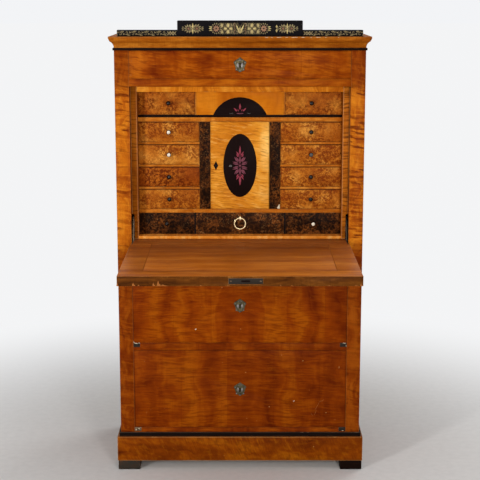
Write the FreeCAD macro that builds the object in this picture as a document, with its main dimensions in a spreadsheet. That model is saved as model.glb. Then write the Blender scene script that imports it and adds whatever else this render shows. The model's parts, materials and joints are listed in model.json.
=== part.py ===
import FreeCAD, Part
import os
import re
import Sketcher

# Fall-front escritoire in figured birch with ebonised mouldings.
# The front faces -Y and +Z is up. The origin lies on the floor under the middle of the whole
# object as it stands with its writing flap let down. Every length is in millimetres.

SIZES = [
    # case
    ("case_width", 830, "across the outer faces of the stiles"),
    ("case_depth", 434, "front face of the stiles to the back face of the back boards"),
    ("stile_width", 48, "face width of each front stile"),
    ("stile_depth", 24, "front to back of each stile"),
    ("side_thickness", 20, "side panels"),
    ("back_thickness", 12, "back boards"),
    ("back_board_gap", 0.6, "between neighbouring back boards"),
    ("rail_depth", 22, "front to back of the front rails"),
    ("board_thickness", 16, "dust boards, case bottom and writing bed"),
    # heights of the front, from the floor upwards
    ("foot_height", 33, "block feet"),
    ("plinth_height", 87, "plinth boards"),
    ("string_height", 15, "ebonised string above the plinth"),
    ("base_rail_height", 16, "rail showing above the string"),
    ("lower_height", 279, "opening of the lower long drawer"),
    ("middle_rail_height", 26, "rail between the long drawers"),
    ("upper_height", 266, "opening of the upper long drawer"),
    ("fall_rail_height", 63, "rail under the flap"),
    ("opening_height", 520, "writing level to the underside of the frieze rail"),
    ("frieze_rail_height", 25, "rail under the frieze drawer"),
    ("frieze_height", 94, "opening of the frieze drawer"),
    ("bead_height", 8, "ebonised bead under the cornice"),
    ("cornice_height", 37, "cornice moulding"),
    # base and top
    ("foot_width", 75, "block feet along the front"),
    ("foot_depth", 70, "block feet front to back"),
    ("foot_inset", 2, "feet set in from the plinth faces"),
    ("plinth_projection", 12, "plinth in front of the stiles"),
    ("plinth_thickness", 24, "plinth boards"),
    ("string_projection", 6, "base string in front of the stiles"),
    ("bead_projection", 4, "bead in front of the stiles"),
    ("cornice_projection", 17, "cornice in front of the stiles"),
    ("cornice_fillet", 15, "upper band of the cornice above its hollow"),
    ("cornice_lip", 5.5, "upright edge above the bevel of that band"),
    ("cornice_bevel", 6, "bevel under the lip, front to back"),
    ("cornice_seat", 30, "cornice moulding lying on the case"),
    ("cover_thickness", 18, "cover board inside the cornice"),
    ("centre_width", 412, "middle block of the pediment"),
    ("centre_height", 51.5, "middle block of the pediment"),
    ("centre_depth", 40, "middle block of the pediment"),
    ("pediment_width", 809, "across both pediment wings"),
    ("wing_height", 21, "pediment wings"),
    ("wing_depth", 32, "pediment wings"),
    ("pediment_setback", 2, "middle block behind the face of the stiles"),
    # writing flap
    ("flap_thickness", 30, "writing flap"),
    ("flap_gap", 1, "flap to the stiles and to the frieze rail"),
    ("flap_clearance", 0.5, "flap to the rail below it and to the boards above its tail"),
    ("pivot_inset", 14, "pivot axis below the writing face"),
    ("pivot_radius", 4, "pivot pins"),
    ("pivot_reach", 12, "pivot pins past the inner face of the stile"),
    ("running_clearance", 0.05, "pin to bearing, on the radius"),
    ("pin_room", 1, "hole in the stile around the pin end"),
    ("bearing_thickness", 3, "bearing plates"),
    ("bearing_width", 16, "bearing plates"),
    ("bearing_depth", 15, "bearing plates below the pivot"),
    ("bearing_height", 85, "bearing plates above the pivot"),
    ("tail_room", 0.8, "writing bed behind the sweep of the flap tail"),
    ("border_width", 70, "flap edge to the inlaid string"),
    ("inlay_width", 3, "inlaid string"),
    ("inlay_depth", 1.5, "inlaid string"),
    ("stay_thickness", 5.5, "iron stays along the width"),
    ("stay_inset", 0.5, "stays inside the flap ends"),
    ("stay_room", 1, "slots wider than the stays on each side"),
    ("stay_leg_length", 73, "stay leg along the flap end"),
    ("stay_leg_width", 19, "stay leg across the flap end"),
    ("stay_tail_depth", 29, "stay tip behind the pivot"),
    ("stay_tail_height", 90, "stay tip above the pivot"),
    ("stay_tail_width", 9, "stay tail at its tip"),
    ("stay_sweep", 100, "room behind the pivot for the stay tail"),
    # locks and escutcheons
    ("selvedge_width", 103, "lock plate on the flap edge"),
    ("selvedge_height", 18, "lock plate on the flap edge"),
    ("selvedge_thickness", 2.5, "lock plate on the flap edge"),
    ("lock_offset", 17, "flap lock to the right of the middle"),
    ("lock_width", 62, "lock cases"),
    ("lock_height", 40, "lock cases"),
    ("lock_thickness", 9, "lock cases"),
    ("escutcheon_width", 42, "cast keyhole plates"),
    ("escutcheon_height", 49.5, "cast keyhole plates"),
    ("escutcheon_thickness", 2.5, "cast keyhole plates"),
    ("keyhole_radius", 2.6, "round end of each keyhole"),
    ("keyhole_slot", 2.6, "width of each keyhole slot"),
    ("keyhole_drop", 9, "keyhole slot below the round end"),
    ("flap_keyhole", 30, "keyhole from the flap edge"),
    ("wear_plate_width", 23, "iron plates at the rail ends"),
    ("wear_plate_height", 14, "iron plates at the rail ends"),
    ("wear_plate_thickness", 2, "iron plates at the rail ends"),
    # long drawers
    ("drawer_gap", 0.8, "long drawers to their openings"),
    ("drawer_front", 20, "long drawer fronts"),
    ("drawer_side", 12, "long drawer sides and backs"),
    ("drawer_bottom", 8, "long drawer bottoms"),
    ("drawer_lift", 6, "drawer bottoms above the lower edge of the sides"),
    ("drawer_step", 12, "sides lower than the fronts"),
    ("drawer_room", 20, "long drawers to the back boards"),
    ("guide_height", 30, "guides beside the long drawers"),
    # interior fitment
    ("stop_width", 22, "upright facings beside the fitment"),
    ("stop_top", 20, "facing above the fitment"),
    ("stop_thickness", 10, "facings front to back"),
    ("stop_gap", 0.3, "closed flap to the facings"),
    ("fitment_recess", 68, "fitment fronts behind the stiles"),
    ("fitment_room", 5, "fitment back to the back boards"),
    ("fitment_side", 10, "fitment sides"),
    ("fitment_floor", 9, "fitment floor"),
    ("fitment_top", 12, "fitment top board"),
    ("fitment_back", 5, "fitment back"),
    ("bottom_row", 74.5, "row of dark drawers"),
    ("lower_shelf", 13, "shelf above the dark drawers"),
    ("upper_shelf", 14.5, "shelf above the cupboard"),
    ("band_height", 8.5, "ebonised band under the top row"),
    ("band_depth", 12, "ebonised band front to back"),
    ("top_row", 80, "row of drawers and the arched panel"),
    ("divider", 7, "boards between the tiers of drawers"),
    ("door_bay", 202, "between the pilasters"),
    ("pilaster_width", 36, "pilasters"),
    ("pilaster_depth", 14, "pilasters front to back"),
    ("partition", 12, "uprights behind the pilasters"),
    ("slim_partition", 4, "uprights in the top and bottom rows"),
    ("arch_width", 294, "panel in the middle of the top row"),
    ("arch_depth", 12, "panel in the middle of the top row"),
    ("lunette_width", 180, "lunette along its base"),
    ("lunette_height", 59, "lunette"),
    ("inlay_clearance", 0.3, "around the lunette and the oval"),
    ("lower_middle", 304, "middle dark drawer bay"),
    # small drawers
    ("small_gap", 0.6, "small drawers to their bays"),
    ("small_front", 12, "small drawer fronts"),
    ("small_side", 6, "small drawer sides and backs"),
    ("small_bottom", 5, "small drawer bottoms"),
    ("small_lift", 2, "small drawer bottoms above the lower edge of the sides"),
    ("small_step", 8, "small drawer sides lower than the fronts"),
    ("small_room", 16, "small drawers to the fitment back"),
    ("knob_radius", 7.5, "turned knobs"),
    ("knob_neck", 3.5, "neck radius of the knobs"),
    ("knob_neck_length", 6, "neck length of the knobs"),
    ("knob_seat", 4.6, "seat radius of the knobs"),
    ("knob_plate", 1.5, "seat thickness of the knobs"),
    # cupboard door and ring pull
    ("door_gap", 0.8, "cupboard door to its bay"),
    ("door_thickness", 14, "cupboard door"),
    ("door_pivot_inset", 5, "door pivot from its edge and face"),
    ("door_pin_radius", 2, "door pivot pins"),
    ("door_pin_length", 9, "door pivot pins"),
    ("door_pin_room", 1, "hole past the end of the pin"),
    ("oval_width", 113, "ebonised oval"),
    ("oval_margin", 42, "ebonised oval to the ends of the door bay"),
    ("oval_depth", 4, "ebonised oval and lozenge"),
    ("lozenge_width", 14.5, "ebonised keyhole lozenge"),
    ("lozenge_height", 29, "ebonised keyhole lozenge"),
    ("lozenge_offset", 82, "lozenge left of the middle"),
    ("ring_radius", 19, "ring pull to the middle of its wire"),
    ("ring_wire", 2.3, "wire radius of the ring pull"),
    ("ring_standoff", 6, "ring pull in front of its drawer"),
    ("staple_width", 5, "staple along the drawer"),
    ("staple_height", 12, "staple upwards and outwards"),
    ("ring_room", 0.6, "hole in the staple around the ring wire"),
]

# Levels and positions that follow from the sizes above.
RULES = {
    "plinth_top": "foot_height + plinth_height",
    "string_top": "plinth_top + string_height",
    "lower_floor": "string_top + base_rail_height",
    "middle_floor": "lower_floor + lower_height",
    "upper_floor": "middle_floor + middle_rail_height",
    "fall_floor": "upper_floor + upper_height",
    "fall_top": "fall_floor + fall_rail_height",
    "writing_level": "fall_top + flap_clearance + flap_thickness",
    "opening_top": "writing_level + opening_height",
    "frieze_floor": "opening_top + frieze_rail_height",
    "frieze_top": "frieze_floor + frieze_height",
    "case_top_level": "frieze_top + bead_height",
    "cornice_top": "case_top_level + cornice_height",
    "case_half": "case_width / 2",
    "opening_half": "case_half - stile_width",
    "inner_half": "case_half - side_thickness",
    "pivot_depth": "flap_thickness - pivot_inset",
    "flap_rise": "opening_height - flap_gap + pivot_inset",
    "flap_reach": "flap_rise - pivot_depth",
    "front": "(flap_reach - case_depth) / 2",
    "back": "front + case_depth",
    "inner_back": "back - back_thickness",
    "rail_back": "front + rail_depth",
    "pivot_y": "front + pivot_depth",
    "pivot_z": "writing_level - pivot_inset",
    "flap_half": "opening_half - flap_gap",
    "flap_edge": "front - flap_reach",
    "flap_under": "writing_level - flap_thickness",
    "stay_outer": "flap_half - stay_inset",
    "stay_inner": "stay_outer - stay_thickness",
    "slot_inner": "stay_inner - stay_room",
    "slot_top": "pivot_z + stay_tail_height + stay_leg_width / 2",
    "tail_sweep": "sqrt(pivot_depth * pivot_depth + pivot_inset * pivot_inset)",
    "bed_front": "pivot_y + tail_sweep + tail_room",
    "bed_top": "writing_level + flap_clearance",
    "stop_front": "front + flap_thickness + stop_gap",
    "stop_back": "stop_front + stop_thickness",
    "fitment_half": "opening_half - stop_width",
    "fitment_outer": "fitment_half + fitment_side",
    "fitment_front": "front + fitment_recess",
    "fitment_rear": "inner_back - fitment_room - fitment_back",
    "row_floor": "bed_top + fitment_floor",
    "lower_shelf_floor": "row_floor + bottom_row",
    "middle_block_floor": "lower_shelf_floor + lower_shelf",
    "top_row_top": "opening_top - stop_top",
    "top_row_floor": "top_row_top - top_row",
    "band_floor": "top_row_floor - band_height",
    "upper_shelf_floor": "band_floor - upper_shelf",
    "middle_block": "upper_shelf_floor - middle_block_floor",
    "door_half": "door_bay / 2",
    "bay_inner": "door_half + pilaster_width",
    "arch_half": "arch_width / 2",
    "top_bay_inner": "arch_half + slim_partition",
    "lower_half": "lower_middle / 2",
    "bottom_bay_inner": "lower_half + slim_partition",
    "tier": "(middle_block - 3 * divider) / 4",
    "tier_middle": "(bay_inner + fitment_half) / 2",
    "dark_middle": "(bottom_bay_inner + fitment_half) / 2",
    "door_edge": "door_half - door_gap",
    "door_pivot_x": "door_edge - door_pivot_inset",
    "door_pivot_y": "fitment_front + door_pivot_inset",
    "door_floor": "middle_block_floor + door_gap",
    "door_top": "upper_shelf_floor - door_gap",
    "door_centre": "(middle_block_floor + upper_shelf_floor) / 2",
    "lunette_radius": "lunette_width * lunette_width / (8 * lunette_height) + lunette_height / 2",
    "cove_height": "cornice_height - cornice_fillet",
    "bevel_floor": "cornice_top - cornice_fillet - cornice_bevel / 2",
    "bevel_height": "cornice_fillet + cornice_bevel / 2 - cornice_lip",
    "cornice_half": "case_half + cornice_projection",
    "cornice_front": "front - cornice_projection",
    "mitre": "cornice_projection + cornice_seat",
    "cover_half": "case_half - cornice_seat",
    "plinth_half": "case_half + plinth_projection",
    "plinth_front": "front - plinth_projection",
    "string_half": "case_half + string_projection",
    "string_front": "front - string_projection",
    "bead_half": "case_half + bead_projection",
    "bead_front": "front - bead_projection",
    "wing_outer": "pediment_width / 2",
    "centre_half": "centre_width / 2",
    "lock_mid": "flap_edge + flap_keyhole",
    "flap_middle": "writing_level - flap_thickness / 2",
    "ring_y": "fitment_front - ring_standoff",
    "ring_z": "row_floor + bottom_row / 2 + ring_radius",
}

# Half outline of the cast keyhole plate, from its crest to its foot,
# as shares of the plate's width and height.
ESCUTCHEON_SHARES = [
    (0.00, 0.50),
    (0.08, 0.45),
    (0.16, 0.40),
    (0.25, 0.35),
    (0.33, 0.30),
    (0.43, 0.25),
    (0.50, 0.18),
    (0.49, 0.09),
    (0.43, 0.02),
    (0.40, -0.09),
    (0.36, -0.19),
    (0.31, -0.26),
    (0.36, -0.32),
    (0.31, -0.39),
    (0.19, -0.40),
    (0.10, -0.46),
    (0.00, -0.50),
]

doc = FreeCAD.newDocument("escritoire")
sheet = doc.addObject("Spreadsheet::Sheet", "Sizes")
for row, (alias, value, note) in enumerate(SIZES, start=1):
    sheet.set(f"A{row}", alias)
    sheet.set(f"B{row}", str(value))
    sheet.set(f"C{row}", note)
    sheet.setAlias(f"B{row}", alias)
doc.recompute()

CELLS = {alias for alias, value, note in SIZES}
WORD = re.compile(r"[a-z_]+")
NODES = []


def term(text):
    """Writes a rule in words as an expression on the sheet's cells."""

    def swap(found):
        word = found.group(0)
        if word in RULES:
            return "(" + term(RULES[word]) + ")"
        return f"Sizes.{word}" if word in CELLS else word

    return WORD.sub(swap, str(text))


def bind(obj, **rules):
    """Binds properties of an object to rules; a double underscore stands for a dot."""
    for name, text in rules.items():
        obj.setExpression(name.replace("__", "."), term(text))
    return obj


def locate(obj, x, y, z):
    """Binds the position of an object."""
    return bind(obj, Placement__Base__x=x, Placement__Base__y=y, Placement__Base__z=z)


def board(name, x, y, z):
    """A squared board between two rules on each axis."""
    box = doc.addObject("Part::Box", name)
    bind(box, Length=f"({x[1]}) - ({x[0]})", Width=f"({y[1]}) - ({y[0]})", Height=f"({z[1]}) - ({z[0]})")
    return locate(box, x[0], y[0], z[0])


def flipped(span):
    """The same span on the left of the middle plane."""
    return (f"-({span[1]})", f"-({span[0]})")


def centred(half):
    """A span with its middle on the middle plane."""
    return (f"-({half})", half)


SIDES = {"left": flipped, "right": lambda span: span}

TURNS = {
    "x": FreeCAD.Rotation(FreeCAD.Vector(0, 1, 0), 90),
    "y": FreeCAD.Rotation(FreeCAD.Vector(1, 0, 0), -90),
    "z": FreeCAD.Rotation(),
}


def rod(name, axis, radius, length, x, y, z):
    """A round bar that runs along an axis from a point."""
    bar = doc.addObject("Part::Cylinder", name)
    bar.Placement = FreeCAD.Placement(FreeCAD.Vector(), TURNS[axis])
    bind(bar, Radius=radius, Height=length)
    return locate(bar, x, y, z)


def cut(name, base, *tools):
    """A piece with others taken away from it, one after another."""
    for count, tool in enumerate(tools, start=1):
        step = doc.addObject("Part::Cut", name if count == len(tools) else f"{name}_step")
        step.Base = base
        step.Tool = tool
        base = step
    return base


def fuse(name, *pieces):
    """Shapes joined into one solid."""
    whole = doc.addObject("Part::MultiFuse", name)
    whole.Shapes = list(pieces)
    return whole


def common(name, base, tool):
    """What two shapes share."""
    shared = doc.addObject("Part::Common", name)
    shared.Base = base
    shared.Tool = tool
    return shared


def group(name, pieces):
    """Separate solids kept as one named part."""
    whole = doc.addObject("Part::Compound", name)
    whole.Links = list(pieces)
    return whole


def node(label, shape):
    """Names a finished part and puts it on the list to be written."""
    shape.Label = label
    NODES.append(shape)
    return shape


def plate(name, plane, corners, thickness):
    """A body padded from a straight-sided outline, with every corner bound to rules."""
    body = doc.addObject("PartDesign::Body", name)
    sketch = body.newObject("Sketcher::SketchObject", f"{name}_outline")
    support = [item for item in body.Origin.OriginFeatures if item.Role == plane][0]
    sketch.AttachmentSupport = [(support, "")]
    sketch.MapMode = "FlatFace"
    doc.recompute()
    probe = doc.addObject("Part::Box", f"{name}_probe")
    points = []
    for u, v in corners:
        bind(probe, Placement__Base__x=u, Placement__Base__y=v)
        doc.recompute()
        points.append(FreeCAD.Vector(probe.Placement.Base.x, probe.Placement.Base.y, 0))
    doc.removeObject(probe.Name)
    count = len(points)
    for k in range(count):
        sketch.addGeometry(Part.LineSegment(points[k], points[(k + 1) % count]))
    for k in range(count):
        sketch.addConstraint(Sketcher.Constraint("Coincident", k, 2, (k + 1) % count, 1))
    for k, (u, v) in enumerate(corners):
        for kind, place, rule in (("DistanceX", points[k].x, u), ("DistanceY", points[k].y, v)):
            index = sketch.addConstraint(Sketcher.Constraint(kind, k, 1, place))
            sketch.setExpression(f"Constraints[{index}]", term(rule))
    pad = body.newObject("PartDesign::Pad", f"{name}_pad")
    pad.Profile = sketch
    bind(pad, Length=thickness)
    body.Tip = pad
    return body


# Case: sides, stiles, rails and boards.

for side, span in SIDES.items():
    node(
        f"side_panel_{side}",
        board(
            f"side_panel_{side}",
            span(("inner_half", "case_half")),
            ("front + stile_depth", "back"),
            ("plinth_top", "case_top_level"),
        ),
    )

for side, span in SIDES.items():
    blank = board(
        f"stile_{side}_blank",
        span(("opening_half", "case_half")),
        ("front", "front + stile_depth"),
        ("plinth_top", "case_top_level"),
    )
    recess = board(
        f"stile_{side}_recess",
        span(("opening_half", "opening_half + bearing_thickness")),
        ("pivot_y - bearing_width / 2", "pivot_y + bearing_width / 2"),
        ("pivot_z - bearing_depth", "pivot_z + bearing_height"),
    )
    start = "opening_half" if side == "right" else "-(opening_half + pivot_reach + pin_room)"
    hole = rod(
        f"stile_{side}_hole",
        "x",
        "pivot_radius + pin_room",
        "pivot_reach + pin_room",
        start,
        "pivot_y",
        "pivot_z",
    )
    node(f"stile_{side}", cut(f"stile_{side}", blank, recess, hole))

PLATE_RAILS = {
    "middle_rail": ("middle_floor", "upper_floor", "upper_floor - wear_plate_height"),
    "base_rail": ("plinth_top", "lower_floor", "lower_floor - wear_plate_height"),
}
wear_plates = []
for name, (floor, top, plate_floor) in PLATE_RAILS.items():
    rail = board(f"{name}_blank", centred("opening_half"), ("front", "rail_back"), (floor, top))
    seats = []
    for side, span in SIDES.items():
        place = (
            span(("opening_half - wear_plate_width", "opening_half")),
            ("front", "front + wear_plate_thickness"),
            (plate_floor, top),
        )
        seats.append(board(f"{name}_seat_{side}", *place))
        wear_plates.append(board(f"{name}_plate_{side}", *place))
    node(name, cut(name, rail, *seats))
node("rail_wear_plates", group("rail_wear_plates", wear_plates))

node(
    "fall_rail",
    board("fall_rail", centred("opening_half"), ("front", "rail_back"), ("fall_floor", "fall_top")),
)
node(
    "frieze_rail",
    board("frieze_rail", centred("opening_half"), ("front", "rail_back"), ("opening_top", "frieze_floor")),
)

node(
    "dust_boards",
    group(
        "dust_boards",
        [
            board(
                f"dust_board_{level}",
                centred("inner_half"),
                ("front + stile_depth", "inner_back"),
                (f"{level} - board_thickness", level),
            )
            for level in ("lower_floor", "upper_floor", "frieze_floor")
        ],
    ),
)

bed_blank = board(
    "writing_bed_blank",
    centred("inner_half"),
    ("bed_front", "inner_back"),
    ("bed_top - board_thickness", "bed_top"),
)
bed_notches = [
    board(
        f"writing_bed_notch_{side}",
        span(("slot_inner", "inner_half")),
        ("bed_front", "pivot_y + stay_sweep"),
        ("bed_top - board_thickness", "bed_top"),
    )
    for side, span in SIDES.items()
]
node("writing_bed", cut("writing_bed", bed_blank, *bed_notches))

node(
    "case_top",
    group(
        "case_top",
        [
            board(
                "case_top_soffit",
                centred("opening_half"),
                ("front", "inner_back"),
                ("frieze_top", "case_top_level"),
            ),
            board(
                "case_top_cover",
                centred("cover_half"),
                ("front + cornice_seat", "back"),
                ("cornice_top - cover_thickness", "cornice_top"),
            ),
            board(
                "case_top_rear",
                centred("cover_half"),
                ("inner_back", "back"),
                ("case_top_level", "cornice_top - cover_thickness"),
            ),
        ],
    ),
)

BACK_BOARDS = 3
back_boards = []
for k in range(BACK_BOARDS):
    share = f"(2 * inner_half - {BACK_BOARDS - 1} * back_board_gap) / {BACK_BOARDS}"
    left = f"-inner_half + {k} * ({share} + back_board_gap)"
    back_boards.append(
        board(
            f"back_board_{k + 1}",
            (left, f"{left} + {share}"),
            ("inner_back", "back"),
            ("plinth_top", "case_top_level"),
        )
    )
node("back_boards", group("back_boards", back_boards))

node(
    "drawer_guides",
    group(
        "drawer_guides",
        [
            board(
                f"drawer_guide_{side}_{level}",
                span(("opening_half", "inner_half")),
                ("front + stile_depth", "inner_back"),
                (level, f"{level} + guide_height"),
            )
            for level in ("lower_floor", "upper_floor", "frieze_floor")
            for side, span in SIDES.items()
        ],
    ),
)

# Base: plinth, feet and ebonised string.

plinth = [
    board(
        "plinth_front",
        centred("plinth_half"),
        ("plinth_front", "plinth_front + plinth_thickness"),
        ("foot_height", "plinth_top"),
    ),
    board(
        "plinth_back",
        centred("plinth_half - plinth_thickness"),
        ("back - plinth_thickness", "back"),
        ("foot_height", "plinth_top"),
    ),
]
for side, span in SIDES.items():
    plinth.append(
        board(
            f"plinth_{side}",
            span(("plinth_half - plinth_thickness", "plinth_half")),
            ("plinth_front + plinth_thickness", "back"),
            ("foot_height", "plinth_top"),
        )
    )
node("plinth", group("plinth", plinth))

FOOT_PLACES = {
    "front": ("plinth_front + foot_inset", "plinth_front + foot_inset + foot_depth"),
    "rear": ("back - foot_inset - foot_depth", "back - foot_inset"),
}
feet = []
for row, depth in FOOT_PLACES.items():
    for side, span in SIDES.items():
        across = span(("plinth_half - foot_inset - foot_width", "plinth_half - foot_inset"))
        feet.append(board(f"foot_{row}_{side}", across, depth, ("0", "foot_height")))
node("block_feet", group("block_feet", feet))


def edging(name, half, face, floor, top):
    """A strip planted round the front and both sides of the case."""
    strips = [board(f"{name}_front", centred(half), (face, "front"), (floor, top))]
    for side, span in SIDES.items():
        strips.append(board(f"{name}_{side}", span(("case_half", half)), ("front", "back"), (floor, top)))
    return node(name, group(name, strips))


edging("base_string", "string_half", "string_front", "plinth_top", "string_top")
edging("cornice_bead", "bead_half", "bead_front", "frieze_top", "case_top_level")

# Cornice: a coved block mitred into three lengths, and the stepped pediment on it.

block = board(
    "cornice_block",
    centred("cornice_half"),
    ("cornice_front", "back"),
    ("case_top_level", "cornice_top"),
)


def cove(name, axis, reach):
    """An elliptic hollow along one edge of the cornice."""
    hollow = doc.addObject("Part::Ellipse", f"{name}_curve")
    bind(hollow, MajorRadius="cove_height", MinorRadius="cornice_projection")
    sweep = doc.addObject("Part::Extrusion", name)
    sweep.Base = hollow
    sweep.DirMode = "Custom"
    sweep.Solid = True
    upright = FreeCAD.Rotation(FreeCAD.Vector(0, 1, 0), 90)
    if axis == "x":
        hollow.Placement = FreeCAD.Placement(FreeCAD.Vector(), upright)
        sweep.Dir = FreeCAD.Vector(1, 0, 0)
        locate(hollow, "-cornice_half", "cornice_front", "case_top_level")
    else:
        aside = FreeCAD.Rotation(FreeCAD.Vector(0, 0, 1), -90).multiply(upright)
        hollow.Placement = FreeCAD.Placement(FreeCAD.Vector(), aside)
        sweep.Dir = FreeCAD.Vector(0, 1, 0)
        locate(hollow, reach, "cornice_front", "case_top_level")
    bind(sweep, LengthFwd="2 * cornice_half" if axis == "x" else "case_depth + cornice_projection")
    return sweep


BEVEL_RUNS = {
    "front": (0, "-cornice_half", "cornice_half", "0"),
    "left": (-90, "-(case_depth + cornice_projection)", "0", "-cornice_half"),
    "right": (90, "0", "case_depth + cornice_projection", "cornice_half"),
}
bevels = []
for run, (degrees, start, end, reach) in BEVEL_RUNS.items():
    waste = doc.addObject("Part::Wedge", f"cornice_bevel_{run}")
    turn = FreeCAD.Rotation(FreeCAD.Vector(0, 0, 1), degrees)
    waste.Placement = FreeCAD.Placement(FreeCAD.Vector(), turn)
    bind(
        waste,
        Xmin=start,
        Xmax=end,
        X2min=start,
        X2max=end,
        Ymin="0",
        Ymax="cornice_bevel",
        Zmin="0",
        Zmax="bevel_height",
        Z2min="0",
        Z2max="0",
    )
    bevels.append(locate(waste, reach, "cornice_front", "bevel_floor"))

moulded = cut(
    "cornice_moulded",
    block,
    cove("cornice_cove_front", "x", "0"),
    cove("cornice_cove_left", "y", "-cornice_half"),
    cove("cornice_cove_right", "y", "cornice_half"),
    *bevels,
)
wedge = doc.addObject("Part::Wedge", "cornice_wedge")
bind(
    wedge,
    Xmin="-cornice_half",
    Xmax="cornice_half",
    X2min="mitre - cornice_half",
    X2max="cornice_half - mitre",
    Ymin="0",
    Ymax="mitre",
    Zmin="0",
    Zmax="cornice_height",
    Z2min="0",
    Z2max="cornice_height",
)
locate(wedge, "0", "cornice_front", "case_top_level")
cornice = [common("cornice_front_length", moulded, wedge)]
for side, span in SIDES.items():
    strip = board(
        f"cornice_strip_{side}",
        span(("cornice_half - mitre", "cornice_half")),
        ("cornice_front", "back"),
        ("case_top_level", "cornice_top"),
    )
    length = common(f"cornice_side_{side}", moulded, strip)
    cornice.append(cut(f"cornice_length_{side}", length, wedge))
node("cornice", group("cornice", cornice))

node(
    "pediment_centre",
    board(
        "pediment_centre",
        centred("centre_half"),
        ("front + pediment_setback", "front + pediment_setback + centre_depth"),
        ("cornice_top", "cornice_top + centre_height"),
    ),
)
node(
    "pediment_wings",
    group(
        "pediment_wings",
        [
            board(
                f"pediment_wing_{side}",
                span(("centre_half", "wing_outer")),
                ("front + 2 * pediment_setback", "front + 2 * pediment_setback + wing_depth"),
                ("cornice_top", "cornice_top + wing_height"),
            )
            for side, span in SIDES.items()
        ],
    ),
)

# Interior fitment: facings, case, shelves and uprights.

facings = [
    board(
        "stop_facing_top",
        centred("fitment_half"),
        ("stop_front", "stop_back"),
        ("top_row_top", "opening_top"),
    ),
    board(
        "stop_facing_floor",
        centred("fitment_half"),
        ("stop_front", "stop_back"),
        ("bed_top", "row_floor"),
    ),
]
for side, span in SIDES.items():
    upright = board(
        f"stop_facing_{side}_blank",
        span(("fitment_half", "opening_half")),
        ("stop_front", "stop_back"),
        ("bed_top", "opening_top"),
    )
    slot = board(
        f"stop_slot_{side}",
        span(("slot_inner", "opening_half")),
        ("stop_front", "stop_back"),
        ("bed_top", "slot_top"),
    )
    facings.append(cut(f"stop_facing_{side}", upright, slot))
node("flap_stop_frame", group("flap_stop_frame", facings))

fitment_case = [
    board(
        "fitment_floor_board",
        centred("fitment_half"),
        ("stop_back", "fitment_rear"),
        ("bed_top", "row_floor"),
    ),
    board(
        "fitment_top_board",
        centred("fitment_half"),
        ("stop_back", "fitment_rear"),
        ("top_row_top", "top_row_top + fitment_top"),
    ),
]
for side, span in SIDES.items():
    fitment_case.append(
        board(
            f"fitment_side_{side}",
            span(("fitment_half", "fitment_outer")),
            ("stop_back", "fitment_rear"),
            ("bed_top", "top_row_top + fitment_top"),
        )
    )
node("fitment_case", group("fitment_case", fitment_case))
node(
    "fitment_back",
    board(
        "fitment_back",
        centred("fitment_outer"),
        ("fitment_rear", "fitment_rear + fitment_back"),
        ("bed_top", "top_row_top + fitment_top"),
    ),
)

full_depth = ("fitment_front", "fitment_rear")
behind_band = ("fitment_front + band_depth", "fitment_rear")
behind_pilaster = ("fitment_front + pilaster_depth", "fitment_rear")

shelves = [
    board("shelf_lower", centred("fitment_half"), full_depth, ("lower_shelf_floor", "middle_block_floor")),
    board("shelf_upper", centred("fitment_half"), full_depth, ("upper_shelf_floor", "band_floor")),
    board("shelf_top_row", centred("fitment_half"), behind_band, ("band_floor", "top_row_floor")),
]
TIERS = 4
for k in range(1, TIERS):
    floor = f"middle_block_floor + {k} * tier + {k - 1} * divider"
    for side, span in SIDES.items():
        across = span(("bay_inner", "fitment_half"))
        shelves.append(board(f"divider_{side}_{k}", across, full_depth, (floor, f"{floor} + divider")))
node("fitment_shelves", group("fitment_shelves", shelves))

UPRIGHTS = {
    "tier": (
        "bay_inner - partition",
        "bay_inner",
        behind_pilaster,
        "middle_block_floor",
        "upper_shelf_floor",
    ),
    "top": ("arch_half", "top_bay_inner", full_depth, "top_row_floor", "top_row_top"),
    "bottom": ("lower_half", "bottom_bay_inner", full_depth, "row_floor", "lower_shelf_floor"),
}
uprights = []
for name, (inner, outer, depth, floor, top) in UPRIGHTS.items():
    for side, span in SIDES.items():
        uprights.append(board(f"upright_{name}_{side}", span((inner, outer)), depth, (floor, top)))
node("fitment_partitions", group("fitment_partitions", uprights))

node(
    "fitment_band",
    board(
        "fitment_band",
        centred("fitment_half"),
        ("fitment_front", "fitment_front + band_depth"),
        ("band_floor", "top_row_floor"),
    ),
)
node(
    "pilasters",
    group(
        "pilasters",
        [
            board(
                f"pilaster_{side}",
                span(("door_half", "bay_inner")),
                ("fitment_front", "fitment_front + pilaster_depth"),
                ("middle_block_floor", "upper_shelf_floor"),
            )
            for side, span in SIDES.items()
        ],
    ),
)

arch_span = ("fitment_front", "fitment_front + arch_depth")


def segment(name, grow):
    """A round-topped segment standing on the band, larger all round by a clearance."""
    disc = rod(
        f"{name}_disc",
        "y",
        f"lunette_radius + {grow}",
        "arch_depth",
        "0",
        "fitment_front",
        "top_row_floor + lunette_height - lunette_radius",
    )
    half = board(
        f"{name}_half",
        centred("lunette_radius + inlay_clearance"),
        arch_span,
        ("top_row_floor", "top_row_floor + lunette_height + inlay_clearance"),
    )
    return common(name, disc, half)


arch_blank = board("arch_panel_blank", centred("arch_half"), arch_span, ("top_row_floor", "top_row_top"))
node("arch_panel", cut("arch_panel", arch_blank, segment("arch_opening", "inlay_clearance")))
node("arch_lunette", segment("arch_lunette", "0"))

# Writing flap, shown let down, with its irons and lock.

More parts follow.
